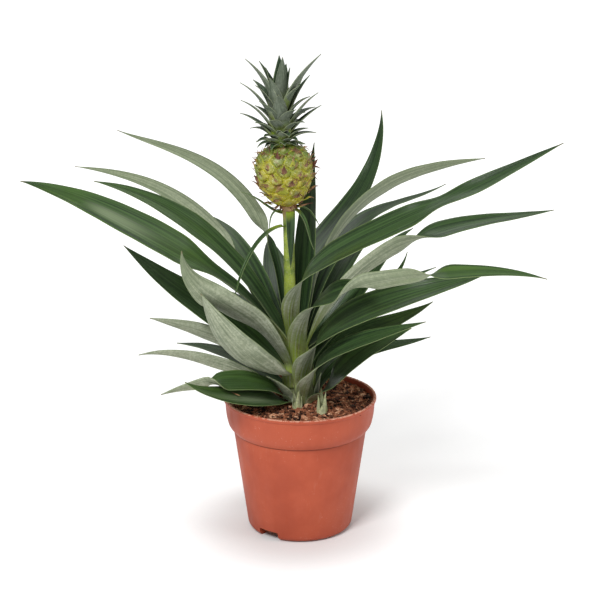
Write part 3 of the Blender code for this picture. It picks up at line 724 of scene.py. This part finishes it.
def makeStalkBracts(rim):
    upper = bladeMaterial("bractUpperSide", bractUpper)
    under = bladeMaterial("bractUnderside", bractUnder)
    for k, (node, values) in enumerate(stalkBracts.items()):
        bm = bmesh.new()
        foot = offStem(values["height"], values["heading"][0], bractShape["gap"])
        rows = max(8, round(values["length"] / bractShape["rowLength"]))
        smallBlade(bm, foot, values["heading"], values["climb"], values["length"], values["width"],
                   values["tone"], 0.1 + 0.15 * k, rows=rows, **bractShape["blade"])
        piece = finishPiece("stalkBract%d" % (k + 1), bm, [upper, under, rim], [node])
        thicken(piece, bractShape["thickness"], 0.5)
    print("stalk bracts ready")


# fruit

def fruitPoint(share, turn, rise=0.0):
    outward = fruitAxes()[1] * math.cos(turn) + Vector((0, 1, 0)) * math.sin(turn)
    radius = float(through(fruit["outline"], share)) + rise
    return Vector(fruit["foot"]).lerp(Vector(fruit["top"]), share) + outward * radius, outward


# the eyes' shares of the height, turns and places, on a spiral with the same skin for each
def fruitEyes():
    shares = np.linspace(0, 1, 200)
    area = np.cumsum(through(fruit["outline"], shares))
    eyes = []
    for k in range(fruit["eyes"]):
        share = float(np.interp((k + 0.5) / fruit["eyes"], area / area[-1], shares))
        turn = math.radians(k * goldenAngle)
        eyes.append((share, turn, fruitPoint(share, turn)[0]))
    return eyes


def fruitMaterial():
    made, tree, shader = newMaterial("fruitSkin")
    place = objectPlace(tree)
    edge, core, ripe = [attribute(tree, name) for name in ("eyeEdge", "eyeCore", "ripe")]
    flecks = noiseTexture(place, 420, 4, 0.65)
    speckle = noiseTexture(place, 1300, 2, 0.6)
    flesh = over(fruit["green"], fruit["yellow"], plus(ripe, times(flecks, 0.6)), 0.35, 1.2)
    groove = mixed(ripe, fruit["grooveGreen"], fruit["grooveYellow"])
    colour = over(flesh, groove, plus(edge, swing(flecks, 0.5)), 0.05, 0.5, 1, 0)
    colour = over(colour, fruit["grey"], plus(core, times(flecks, 0.7)), 0.7, 1.2, 0, 0.75)
    colour = over(colour, fruit["speckle"], speckle, 0.56, 0.66, 0, 0.6)
    colour = over(colour, fruit["blush"], noiseTexture(place, 160, 4, 0.6), 0.53, 0.66, 0, 0.85)
    # painted shade: the deepest line of the grooves between the eyes is darkened
    colour = over(colour, fruit["paintedCreaseShade"], edge, 0.0, 0.12, 0.75, 0)
    surface(shader, colour, ramp(flecks, 0.3, 0.7, 0.36, 0.6))
    bumped(shader, plus(flecks, times(speckle, 0.5)), 0.7, 0.5)
    return made


def makeFruit(eyes):
    rings = fruit["rings"]
    bm = spun([(0, 0.0)] + [(1, k / rings) for k in range(rings + 1)] + [(0, 1.0)], fruit["sides"])
    eyeEdge, eyeCore, ripe = [bm.verts.layers.float.new(name) for name in ("eyeEdge", "eyeCore", "ripe")]
    places = np.array([eye[2] for eye in eyes])
    up = np.array(fruitAxes()[0])
    rng = random.Random(23)
    size = [rng.uniform(0.75, 1.25) for _ in eyes]
    for vert in bm.verts:
        share, turn = vert.co.z, math.atan2(vert.co.y, vert.co.x)
        if vert.co.xy.length < 0.5:
            vert.co = Vector(fruit["foot"]).lerp(Vector(fruit["top"]), share)
            continue
        skin, outward = fruitPoint(share, turn)
        away = np.array(skin + 0.9 * noise.noise_vector(skin * 0.35)) - places
        gaps = np.sqrt((away ** 2).sum(1) + 0.35 * (away @ up) ** 2)
        eye, other = np.argsort(gaps)[:2]
        border = min(1.0, (gaps[other] - gaps[eye]) / fruit["eyeGap"])
        dome = border ** 0.6
        dimple = max(0.0, 1 - (gaps[eye] / fruit["dimple"]) ** 2)
        aside = abs(float(away[eye] @ np.array((-outward.y, outward.x, 0))))
        keel = max(0.0, 1 - aside / fruit["keel"])
        rise = fruit["eyeRise"] * size[eye] * (1.25 * dome - 0.4) - 0.35 * dimple + 0.3 * keel * dome
        rise *= math.sin(math.pi * share) ** 0.3     # level at both ends
        rise += 0.22 * noise.noise(skin * 0.8) + 0.12 * noise.noise(skin * 2.1)
        vert[eyeEdge] = border
        vert[eyeCore] = max(0.0, 1 - gaps[eye] / fruit["eyeCore"])
        vert[ripe] = min(1, max(0, 1.0 - share * 0.9 + 0.45 * noise.noise(skin * 0.11)))
        vert.co = fruitPoint(share, turn, rise)[0]
    finishPiece("fruitBody", bm, [fruitMaterial()], ["fruit"])
    print("fruit ready")


# dry bracts: one over each eye, curled dry ends that stand out between them, and a frill at both ends

fruitBract = {
    "length": 10.4, "width": 9.6, "blade": dict(rows=9, columns=4, fold=75, hollow=0.97, power=1.0),
    "curls": 0.9, "curlLength": (4.5, 9), "curlWidth": (1.6, 3.4),
    "curlBlade": dict(rows=8, columns=4, fold=110, point=1.1),
    "frill": 38, "lowFrill": 14, "lowLength": (5, 9.5), "highLength": (4, 7), "frillWidth": (2.6, 4.2),
    "frillBlade": dict(rows=7, columns=4, fold=100, point=1.3),
    "thickness": 0.35, "margin": 0.6,
    "green": (0.34, 0.35, 0.03), "flushed": (0.25, 0.13, 0.062), "dry": (0.10, 0.030, 0.014),
}


def makeFruitBracts(eyes):
    rng = random.Random(5)
    bm = bmesh.new()
    up = fruitAxes()[0]
    for share, turn, place in eyes:
        out = fruitPoint(share, turn)[1]
        facing = math.degrees(turn)
        if rng.random() < fruitBract["curls"]:
            bend = rng.uniform(-70, 110)
            root = place + up * rng.uniform(-3, 0) - out * 0.6
            smallBlade(bm, root, (facing, facing + rng.uniform(-70, 70)), (5, 25, bend * 0.5, bend),
                       rng.uniform(*fruitBract["curlLength"]),
                       rng.uniform(*fruitBract["curlWidth"]), rng.uniform(0.7, 1.3), rng.random(),
                       twist=rng.uniform(-120, 120), **fruitBract["curlBlade"])
        growth = float(through(fruit["outline"], share + 0.02) - through(fruit["outline"], share - 0.02))
        slope = 90 - math.degrees(math.atan2(growth, 0.04 * 45))     # of the skin there
        root = place - up * rng.uniform(2.6, 3.6) + out * 0.5
        size = rng.uniform(0.7, 1.2)
        curl = rng.uniform(20, 110)
        smallBlade(bm, root, (facing, facing + rng.uniform(-20, 20), facing + rng.uniform(-70, 70)),
                   (slope - 42, slope + 2, slope - 12 - curl * 0.4, slope - curl),
                   fruitBract["length"] * size, fruitBract["width"] * rng.uniform(0.6, 1.2),
                   rng.uniform(-0.1, 1.2), rng.random(),
                   point=rng.uniform(0.9, 1.9), twist=rng.uniform(-70, 70), **fruitBract["blade"])
    for k in range(fruitBract["frill"]):
        low = k < fruitBract["lowFrill"]
        turn = rng.uniform(0, 2 * math.pi) if low else math.radians(k * goldenAngle)
        place, out = fruitPoint(0.03 if low else rng.uniform(0.88, 0.93), turn)
        facing = math.degrees(turn)
        climb = (-35, -60, -20, 20) if low else (60, 25, -20, rng.uniform(-140, 60))
        smallBlade(bm, place - out * 0.8, (facing, facing + rng.uniform(-40, 40)), climb,
                   rng.uniform(*fruitBract["lowLength" if low else "highLength"]),
                   rng.uniform(*fruitBract["frillWidth"]),
                   rng.uniform(0.6, 1.0) if low else rng.uniform(-0.2, 0.9), rng.random(),
                   twist=rng.uniform(-90, 90), **fruitBract["frillBlade"])
    piece = finishPiece("fruitBracts", bm, [paperMaterial("dryBract", fruitBract)], ["fruit"])
    thicken(piece, fruitBract["thickness"], fruitBract["margin"], 0, 0)
    print("fruit bracts ready")


# crown

crown = {
    "top": (-14.4, 0.0, 338.0), "gap": 0.3,
    "core": ((0, 8.5), (0.15, 9.0), (0.5, 7.0), (0.85, 4.0), (1, 1.5)), "coreSides": 40,
    "spiralLeaves": 28, "firstTurn": 230.0,
    "fillers": 22, "fillerTurn": 61.0, "fillerLength": 0.7,
    "spiralShapes": (     # share of the way up, four climbs from foot to tip, length, width
        (0.0, 48, 30, 0, -22, 24, 9.0),
        (0.35, 62, 48, 22, 2, 31, 11.0),
        (0.65, 72, 62, 50, 34, 44, 12.0),
        (0.85, 80, 74, 60, 46, 42, 12.0),
        (1.0, 88, 86, 80, 70, 32, 10.5),
    ),
    "frontLeaves": (     # share of the way up, turn, climb from foot to tip, length, width
        (0.15, 170, (50, 42, 34, 12), 33, 9.0),
        (0.20, 10, (52, 46, 40, 28), 35, 9.5),
        (0.22, 262, (84, 80, 74, 60), 32, 17.0),
        (0.25, 187, (64, 56, 44, 22), 38, 11.0),
        (0.32, 352, (66, 58, 50, 34), 39, 11.0),
        (0.38, 192, (70, 64, 52, 28), 47, 12.5),
        (0.45, 20, (80, 70, 58, 46), 43, 12.0),
        (0.50, 236, (84, 78, 70, 56), 40, 16.0),
        (0.55, 205, (85, 72, 58, 40), 57, 17.0),
        (0.62, 342, (82, 66, 52, 44), 60, 17.0),
        (0.78, 160, (84, 78, 72, 62), 36, 9.0),
        (0.82, 30, (86, 82, 78, 74), 34, 8.0),
        (0.80, 98, (88, 86, 84, 82), 43, 14.0),
        (0.90, 292, (89, 88, 86, 82), 40, 12.0),
    ),
    "blade": dict(rows=16, columns=8, fold=95, opening=45, hollow=0.97, power=2.4, swell=(0.9, 1.1),
                  widest=0.4, tipWidth=0.35),
    "ruff": 13, "ruffRadius": 6.5, "ruffLength": (11, 16), "ruffWidth": (6, 8),
    "ruffBlade": dict(rows=9, columns=6, fold=90, hollow=0.97, power=1.7),
    "thickness": 0.6,
}
crownUpper = {
    **upperSide, "dark": (0.010, 0.028, 0.014), "light": (0.045, 0.085, 0.038),
    "bright": (0.08, 0.15, 0.04), "bloom": (0.09, 0.12, 0.08), "bloomReach": (0.0, 0.8, 0.10, 0.5),
    "felt": 0.3, "foot": (0.24, 0.33, 0.02), "footReach": 0.42, "gloss": 0.42, "lines": 26.0,
}
crownUnder = {
    **underSide, "dark": (0.055, 0.08, 0.045), "light": (0.13, 0.16, 0.105), "bright": (0.12, 0.17, 0.07),
    "bloom": (0.235, 0.265, 0.21), "bloomReach": (0.0, 1.0, 0.45, 0.8), "highBloom": 1.0,
    "fleck": (0.07, 0.09, 0.06), "felt": 0.6, "foot": (0.24, 0.34, 0.02), "footReach": 0.42,
    "margin": (0.30, 0.33, 0.22), "lines": 20.0,
}


# the crown's leaves as share of the way up, turn, climb, length and width
def crownPlan(rng):
    plan = list(crown["frontLeaves"])
    shares, *columns = np.array(crown["spiralShapes"]).T
    count = crown["spiralLeaves"]
    for k in range(count + crown["fillers"]):
        filler = k >= count
        share = (k - count + 0.5) / crown["fillers"] * 0.7 if filler else k / (count - 1)
        turn = k * goldenAngle + crown["fillerTurn" if filler else "firstTurn"]
        *climb, length, width = [float(np.interp(share, shares, column)) for column in columns]
        climb[3] += rng.uniform(-12, 12)
        length *= rng.uniform(0.9, 1.08)
        if filler:
            climb = [value + 6 for value in climb]
            plan.append((share, turn, climb, length * crown["fillerLength"], width))
        elif share < 0.16 or math.sin(math.radians(turn)) > 0.4:     # the front has leaves of its own
            plan.append((share, turn, climb, length, width))
    return plan


def makeCrown():
    up, side = fruitAxes()
    foot, top = Vector(fruit["top"]) + up * crown["gap"], Vector(crown["top"])
    bm = spun([(0, 0.0)] + [(radius * 0.8, share) for share, radius in crown["core"]] + [(0, 1.0)],
              crown["coreSides"])
    for vert in bm.verts:
        vert.co = foot.lerp(top, vert.co.z) + side * vert.co.x + Vector((0, vert.co.y, 0))
    core = rimMaterial("crownCore", (0.10, 0.15, 0.04), (0.20, 0.25, 0.05))
    finishPiece("crownCore", bm, [core], ["crown"], 60)

    rng = random.Random(11)
    bm = bmesh.new()
    for share, turn, climb, length, width in crownPlan(rng):
        inner = 0.55 * float(np.interp(share, *zip(*crown["core"])))
        place = foot.lerp(top, 0.03 + 0.93 * share) + inner * outwards(turn)
        smallBlade(bm, place, (turn, turn + rng.uniform(-10, 10)), climb, length, width,
                   rng.uniform(0.0, 0.5), rng.random(), **crown["blade"])
    for k in range(crown["ruff"]):      # small leaves that hang over the fruit's shoulder
        turn = 360.0 * k / crown["ruff"] + rng.uniform(-12, 12)
        place = foot + up * rng.uniform(-1.0, 1.5) + crown["ruffRadius"] * outwards(turn)
        smallBlade(bm, place, (turn, turn + rng.uniform(-15, 15)), (55, 15, -30, rng.uniform(-60, 10)),
                   rng.uniform(*crown["ruffLength"]), rng.uniform(*crown["ruffWidth"]),
                   rng.uniform(0.2, 0.7), rng.random(), **crown["ruffBlade"])
    skins = [bladeMaterial("crownUpperSide", crownUpper), bladeMaterial("crownUnderside", crownUnder),
             rimMaterial("crownMargin", (0.22, 0.26, 0.15), (0.24, 0.2, 0.12))]
    piece = finishPiece("crownLeaves", bm, skins, ["crown"])
    thicken(piece, crown["thickness"], 0.5)
    print("crown ready")


# pot

pot = {
    "height": 108.0, "rimRadius": 60.0, "footRadius": 41.6, "corner": 5.0,
    "shoulderHeight": 82.0, "shoulderRadius": 52.4, "wall": 1.6, "floor": 2.6,
    "steps": 160, "drains": 8, "firstDrain": 233.0, "drainInset": 3.0,
    "deepDrain": (14.0, 18.0, 7.0), "shallowDrain": (14.0, 11.0, 1.0),     # outwards, across, deep
    "deep": (0.36, 0.060, 0.024), "light": (0.43, 0.079, 0.033), "drag": (0.56, 0.30, 0.22),
    "dust": (0.68, 0.45, 0.34), "worn": (0.60, 0.36, 0.27), "lip": (0.72, 0.42, 0.30),
    "paintedCreaseShade": (0.10, 0.018, 0.010),
}


def potInside(inset=0.0):
    shoulder = pot["shoulderRadius"] - pot["wall"] - inset
    foot = pot["footRadius"] - 1.3 - inset
    high = pot["shoulderHeight"]
    return [(foot - 3.2, pot["floor"] + inset), (foot, 7.0 + inset), (shoulder, high + 0.6),
            (shoulder + 3.4, high + 4.8), (shoulder + 4.9, high + 9),
            (pot["rimRadius"] - 2.6 - inset, soil["top"])]


def potMaterial():
    made, tree, shader = newMaterial("terracottaPlastic")
    place = objectPlace(tree)
    level = split(place)[2]
    clouds = noiseTexture(place, 22, 4, 0.6)
    drag = noiseTexture(drawnOut(place, 0.25), 120, 4, 0.65)
    scuffs = noiseTexture(place, 330, 5, 0.75)
    specks = noiseTexture(place, 900, 1, 0.4)
    cloudy = ramp(clouds, 0.5, 0.62)
    colour = over(pot["deep"], pot["light"], clouds, 0.35, 0.65)
    colour = over(colour, pot["drag"], drag, 0.60, 0.74, 0, 0.10)
    colour = mixed(times(ramp(specks, 0.72, 0.79, 0, 0.4), cloudy), colour, pot["dust"])
    colour = mixed(times(ramp(scuffs, 0.61, 0.70, 0, 0.3), cloudy), colour, pot["worn"])
    lip = ramp(level, (pot["height"] - 1.0) * mm, (pot["height"] - 0.2) * mm, 0, 0.8)
    colour = mixed(times(lip, ramp(scuffs, 0.42, 0.58)), colour, pot["lip"])
    # painted shade: a dark line just under the collar's step
    under = distance(level, (pot["shoulderHeight"] - 0.35) * mm)
    colour = over(colour, pot["paintedCreaseShade"], under, 0.25 * mm, 0.8 * mm, 0.65, 0)
    surface(shader, colour, ramp(drag, 0.3, 0.75, 0.48, 0.66), 0.35)
    bumped(shader, plus(times(drag, 0.6), times(noiseTexture(place, 2600, 2, 0.6), 0.4)), 0.25, 0.15)
    return made


# a box with rounded upper edges, turned to one drain's place under the pot
def drainCutter(k):
    along, across, deep = pot["deepDrain"] if k % (pot["drains"] // 2) == 0 else pot["shallowDrain"]
    bm = bmesh.new()
    bmesh.ops.create_cube(bm, size=1.0)
    bmesh.ops.scale(bm, verts=bm.verts, vec=Vector((along, across, 2 * deep)) * mm)
    bmesh.ops.translate(bm, verts=bm.verts, vec=Vector((pot["footRadius"] - pot["drainInset"], 0, 0)) * mm)
    turn = math.radians(pot["firstDrain"] + k * 360.0 / pot["drains"])
    bmesh.ops.rotate(bm, verts=bm.verts, cent=(0, 0, 0), matrix=Matrix.Rotation(turn, 3, "Z"))
    edges = [edge for edge in bm.edges if max(vert.co.z for vert in edge.verts) > 0]
    bmesh.ops.bevel(bm, geom=edges, offset=min(1.2, deep * 0.6) * mm, affect="EDGES", segments=3,
                    profile=0.5, material=-1)
    return linked("drainCutter", meshFrom("drainCutter", bm))


def makePot():
    radius, high, rim, top = pot["shoulderRadius"], pot["shoulderHeight"], pot["rimRadius"], pot["height"]
    foot = [(pot["footRadius"] - pot["corner"] * (1 - math.sin(turn)), pot["corner"] * (1 - math.cos(turn)))
            for turn in np.radians(np.linspace(0, 84, 9))]
    step = [(radius - 0.2, high - 1.6), (radius - 0.55, high - 0.7), (radius - 0.6, high - 0.15)]
    heights = np.linspace(high, top - 3, 16)
    collar = through([(high, radius + 0.6), (high + 1.2, radius + 1.6), (high + 4, radius + 3.6),
                      (high + 8, radius + 4.8), (top - 3, rim - 1.1)], heights)
    lip = [(rim - 0.35, top - 2.6), (rim, top - 1.9), (rim + 0.02, top - 1.0), (rim - 0.25, top - 0.3),
           (rim - 0.8, top), (rim - 1.6, top), (rim - 2.2, top - 0.4), (rim - 2.4, top - 1.2)]
    outline = [(0, 0), *foot, *step, *zip(collar, heights), *lip, *potInside()[::-1], (0, pot["floor"])]
    bm = spun(outline, pot["steps"])
    piece = finishPiece("potShell", bm, [potMaterial()], ["pot"], 35)
    cutters = [drainCutter(k) for k in range(pot["drains"])]
    for cutter in cutters:
        cut = piece.modifiers.new("drain", "BOOLEAN")
        cut.operation = "DIFFERENCE"
        cut.solver = "EXACT"
        cut.object = cutter
    graph = bpy.context.evaluated_depsgraph_get()
    mesh = bpy.data.meshes.new_from_object(piece.evaluated_get(graph), preserve_all_data_layers=True,
                                           depsgraph=graph)
    piece.modifiers.clear()
    piece.data = mesh
    for cutter in cutters:
        bpy.data.objects.remove(cutter, do_unlink=True)
    print("pot ready")


# soil

soil = {
    "top": 103.4, "mound": 1.4, "waves": ((1.3, 0.13), (0.8, 0.33), (0.6, 0.8)),     # height, noise scale
    "gap": 0.3, "stemHole": 11.0, "holeFloor": 93.0, "steps": 180, "rings": 60,
    "crumbs": 2500, "chips": 420, "lipCrumbs": 60, "fibres": 110,
    "crumbSize": (0.5, 1.3), "chipSize": (1.2, 2.6), "lipSize": (0.25, 0.5),
    "clearOf": (13.4, 1.6),     # radius kept free for the stem, and the gap to the pot's wall
    "earth": ((0.020, 0.007, 0.004), (0.38, 0.135, 0.065), (0.84, 0.50, 0.31)),     # dark, middle, pale
    "coir": ((0.06, 0.027, 0.014), (0.22, 0.115, 0.06), (0.5, 0.33, 0.2)),
}


def soilMaterial(name, dark, middle, pale):
    made, tree, shader = newMaterial(name)
    place = objectPlace(tree)
    lumps, grit = noiseTexture(place, 300, 5, 0.7), noiseTexture(place, 1100, 4, 0.75)
    both = plus(times(lumps, 0.5), times(grit, 0.5))
    shade = plus(both, swing(attribute(tree, "tone"), 0.34))
    colour = over(over(dark, middle, shade, 0.36, 0.54), pale, shade, 0.58, 0.70, 0, 0.9)
    surface(shader, colour, 0.9, 0.3)
    bumped(shader, both, 1.0, 1.6)
    return made


def soilHeight(x, y):
    base = soil["top"] + soil["mound"] * (1 - math.hypot(x, y) / pot["rimRadius"]) ** 2
    return base + sum(rise * noise.noise(Vector((x, y, base)) * scale) for rise, scale in soil["waves"])


# many small pieces: made in small batches, which keeps bmesh quick
def gathered(count, makeOne, batch=60):
    whole = bmesh.new()
    whole.verts.layers.float.new("tone")
    for start in range(0, count, batch):
        part = bmesh.new()
        tone = part.verts.layers.float.new("tone")
        for k in range(start, min(start + batch, count)):
            makeOne(part, tone, k)
        mesh = meshFrom("batch", part)
        whole.from_mesh(mesh)
        bpy.data.meshes.remove(mesh)
    return whole


def makeSoil():
    wall = potInside(soil["gap"])
    edge = wall[-1][0]
    rings = [(radius, soil["top"]) for radius in np.linspace(edge, soil["stemHole"], soil["rings"])]
    hole = [(soil["stemHole"], soil["holeFloor"]), (0, soil["holeFloor"])]
    bm = spun([(0, pot["floor"] + soil["gap"]), *wall, *rings[1:], *hole], soil["steps"])
    tone = bm.verts.layers.float.new("tone")
    for vert in bm.verts:
        vert[tone] = 0.3
        if vert.co.z > soil["top"] - 0.01 and vert.co.xy.length < edge + 0.01:
            vert.co.z = soilHeight(vert.co.x, vert.co.y)
            vert[tone] = 0.42 + 0.5 * noise.noise(vert.co * 0.45)
    finishPiece("soilBody", bm, [soilMaterial("pottingSoil", *soil["earth"])], ["soil"])

    rng = random.Random(17)
    bits = soil["crumbs"] + soil["chips"]

    def lay(part, verts, tip, lift, onLip=False):     # turns a bit anyhow and puts it down on the soil
        turning = Matrix.Rotation(rng.uniform(0, 6.28), 3, "Z") @ Matrix.Rotation(rng.uniform(*tip), 3, "X")
        bmesh.ops.rotate(part, verts=verts, cent=(0, 0, 0), matrix=turning)
        raised = rng.uniform(*lift)
        radius = math.sqrt(rng.uniform(soil["clearOf"][0] ** 2, (edge - soil["clearOf"][1]) ** 2))
        if onLip:
            radius = pot["rimRadius"] - rng.uniform(1.0, 2.2)
        turn = rng.uniform(0, 2 * math.pi)
        x, y = radius * math.cos(turn), radius * math.sin(turn)
        z = pot["height"] + 0.1 if onLip else soilHeight(x, y) + raised
        bmesh.ops.translate(part, verts=verts, vec=(x, y, z))

    def crumb(part, tone, k):
        verts = bmesh.ops.create_icosphere(part, subdivisions=1, radius=1.0)["verts"]
        onLip = k >= bits
        size = rng.uniform(*soil["crumbSize" if k < soil["crumbs"] else "chipSize"])
        if onLip:
            size = rng.uniform(*soil["lipSize"])
        shape = Vector([size * rng.uniform(*share) for share in ((0.7, 2.0), (0.5, 1.0), (0.3, 0.8))])
        shade = min(1.0, rng.random() ** 1.4 + (0.4 if onLip or rng.random() < 0.08 else 0))
        for vert in verts:
            vert.co += Vector([rng.uniform(-0.3, 0.3) for _ in range(3)])
            vert[tone] = shade
        bmesh.ops.scale(part, verts=verts, vec=shape)
        lay(part, verts, (-0.9, 0.9), (0.0, 0.9 * shape.z), onLip)

    def fibre(part, tone, k):
        verts = bmesh.ops.create_cone(part, cap_ends=True, segments=4, radius1=rng.uniform(0.14, 0.4),
                                      radius2=0.1, depth=rng.uniform(1.5, 4.5))["verts"]
        shade = rng.uniform(0.3, 1.0)
        for vert in verts:
            vert[tone] = shade
        lay(part, verts, (1.15, 1.75), (0.5, 1.3))

    finishPiece("soilCrumbs", gathered(bits + soil["lipCrumbs"], crumb),
                [soilMaterial("barkCrumbs", *soil["earth"])], ["soil"], 30)
    finishPiece("soilFibres", gathered(soil["fibres"], fibre), [soilMaterial("coirFibres", *soil["coir"])],
                ["soil"], 30)
    print("soil ready")


# young shoots beside the stem, each of small blades wrapped round one another

shoots = {
    "shoot_1": dict(place=(-2.0, -19.5), top=(-4.5, -21.0, 121.5), width=7.6),
    "shoot_2": dict(place=(17.0, -29.0), top=(14.8, -31.0, 124.0), width=8.6),
}
shootShape = {
    "depth": 4.0, "firstTurn": 235.0, "apart": 40.0, "thickness": 0.6,
    "reaches": (0.5, 0.68, 0.8, 0.92, 1.0),     # one for each blade, from the outermost
    "blade": dict(rows=18, columns=10, fold=150, hollow=1.0, power=1.9, swell=(0.85, 1.0)),
}
shootSkin = {
    **underSide, "dark": (0.22, 0.26, 0.12), "light": (0.50, 0.52, 0.29), "bright": (0.52, 0.60, 0.14),
    "bloom": (0.66, 0.66, 0.48), "bloomReach": (0.0, 1.0, 0.4, 0.9), "foot": (0.66, 0.70, 0.16),
    "footReach": 0.6, "margin": (0.34, 0.36, 0.2), "lines": 12.0,
}


def makeShoots(rim):
    rng = random.Random(29)
    skin = bladeMaterial("shootSkin", shootSkin)
    for k, (node, values) in enumerate(shoots.items()):
        root = Vector((*values["place"], soil["top"] - shootShape["depth"]))
        bm = bmesh.new()
        for blade, share in enumerate(shootShape["reaches"]):
            turn = shootShape["firstTurn"] + blade * goldenAngle + shootShape["apart"] * k
            base = root + 0.34 * values["width"] * (1 - 0.16 * blade) * outwards(turn)
            smallBlade(bm, base, (turn, turn + rng.uniform(-30, 30)), (50, 104, 106, rng.uniform(66, 92)),
                       (Vector(values["top"]) - base).length * share,
                       values["width"] * (1.25 - 0.1 * blade), rng.uniform(0.3, 0.9), rng.random(),
                       **shootShape["blade"])
        piece = finishPiece("youngShoot%d" % (k + 1), bm, [skin, skin, rim], [node])
        thicken(piece, shootShape["thickness"], 0.6)
    print("shoots ready")


# dry scales round the foot of the stem and one dry needle on the lowest leaf

scraps = {
    "scales": 9, "headings": (185, 330), "radii": (14.2, 17.5), "depth": 0.5,
    "length": (4, 8), "width": (2.2, 4),
    "needleOn": "leaf_01", "needleAt": 0.52, "needleLength": 8.0, "needleWidth": 1.3, "needleLift": 2.0,
    "thickness": 0.35, "margin": 0.6,
    "green": (0.34, 0.22, 0.10), "flushed": (0.32, 0.15, 0.07), "dry": (0.14, 0.05, 0.025),
}


def makeScraps():
    rng = random.Random(41)
    bm = bmesh.new()
    for _ in range(scraps["scales"]):
        turn = rng.uniform(*scraps["headings"])
        place = outwards(turn) * rng.uniform(*scraps["radii"])
        place.z = soil["top"] - scraps["depth"]
        smallBlade(bm, place, (turn, turn + rng.uniform(-70, 70)), (rng.uniform(20, 80), 60, 20, -30),
                   rng.uniform(*scraps["length"]), rng.uniform(*scraps["width"]), rng.uniform(0.3, 1),
                   rng.random(), point=1.2, twist=rng.uniform(-90, 90))
    values = leaves[scraps["needleOn"]]
    foot = offStem(values["foot"], values["heading"][0], leafShape["standOff"])
    (point,), (way,), (up,) = bladeLine(foot, values["heading"], values["climb"], values["length"],
                                        np.array([scraps["needleAt"]]))
    side = Vector(np.cross(way, up))
    aim = (side + Vector(way) * 0.35).normalized()
    start = Vector(point) + Vector(up) * scraps["needleLift"] - side * scraps["needleLength"] * 0.4
    smallBlade(bm, start, [math.degrees(math.atan2(aim.y, aim.x))], [math.degrees(math.asin(aim.z)), 10],
               scraps["needleLength"], scraps["needleWidth"], 0.5, 0.4, columns=2, fold=60, power=3.0)
    piece = finishPiece("dryScraps", bm, [paperMaterial("dryScrap", scraps)], ["soil"])
    thicken(piece, scraps["thickness"], scraps["margin"], 0, 0)
    print("dry scraps ready")


makeCamera()
makeStudio()
makePot()
makeSoil()
makeStem()
margins = rimMaterial("leafMargin", (0.17, 0.23, 0.09), (0.24, 0.22, 0.12))
makeLeaves(margins)
makeStalkBracts(margins)
eyePlaces = fruitEyes()
makeFruit(eyePlaces)
makeFruitBracts(eyePlaces)
makeCrown()
makeShoots(margins)
makeScraps()
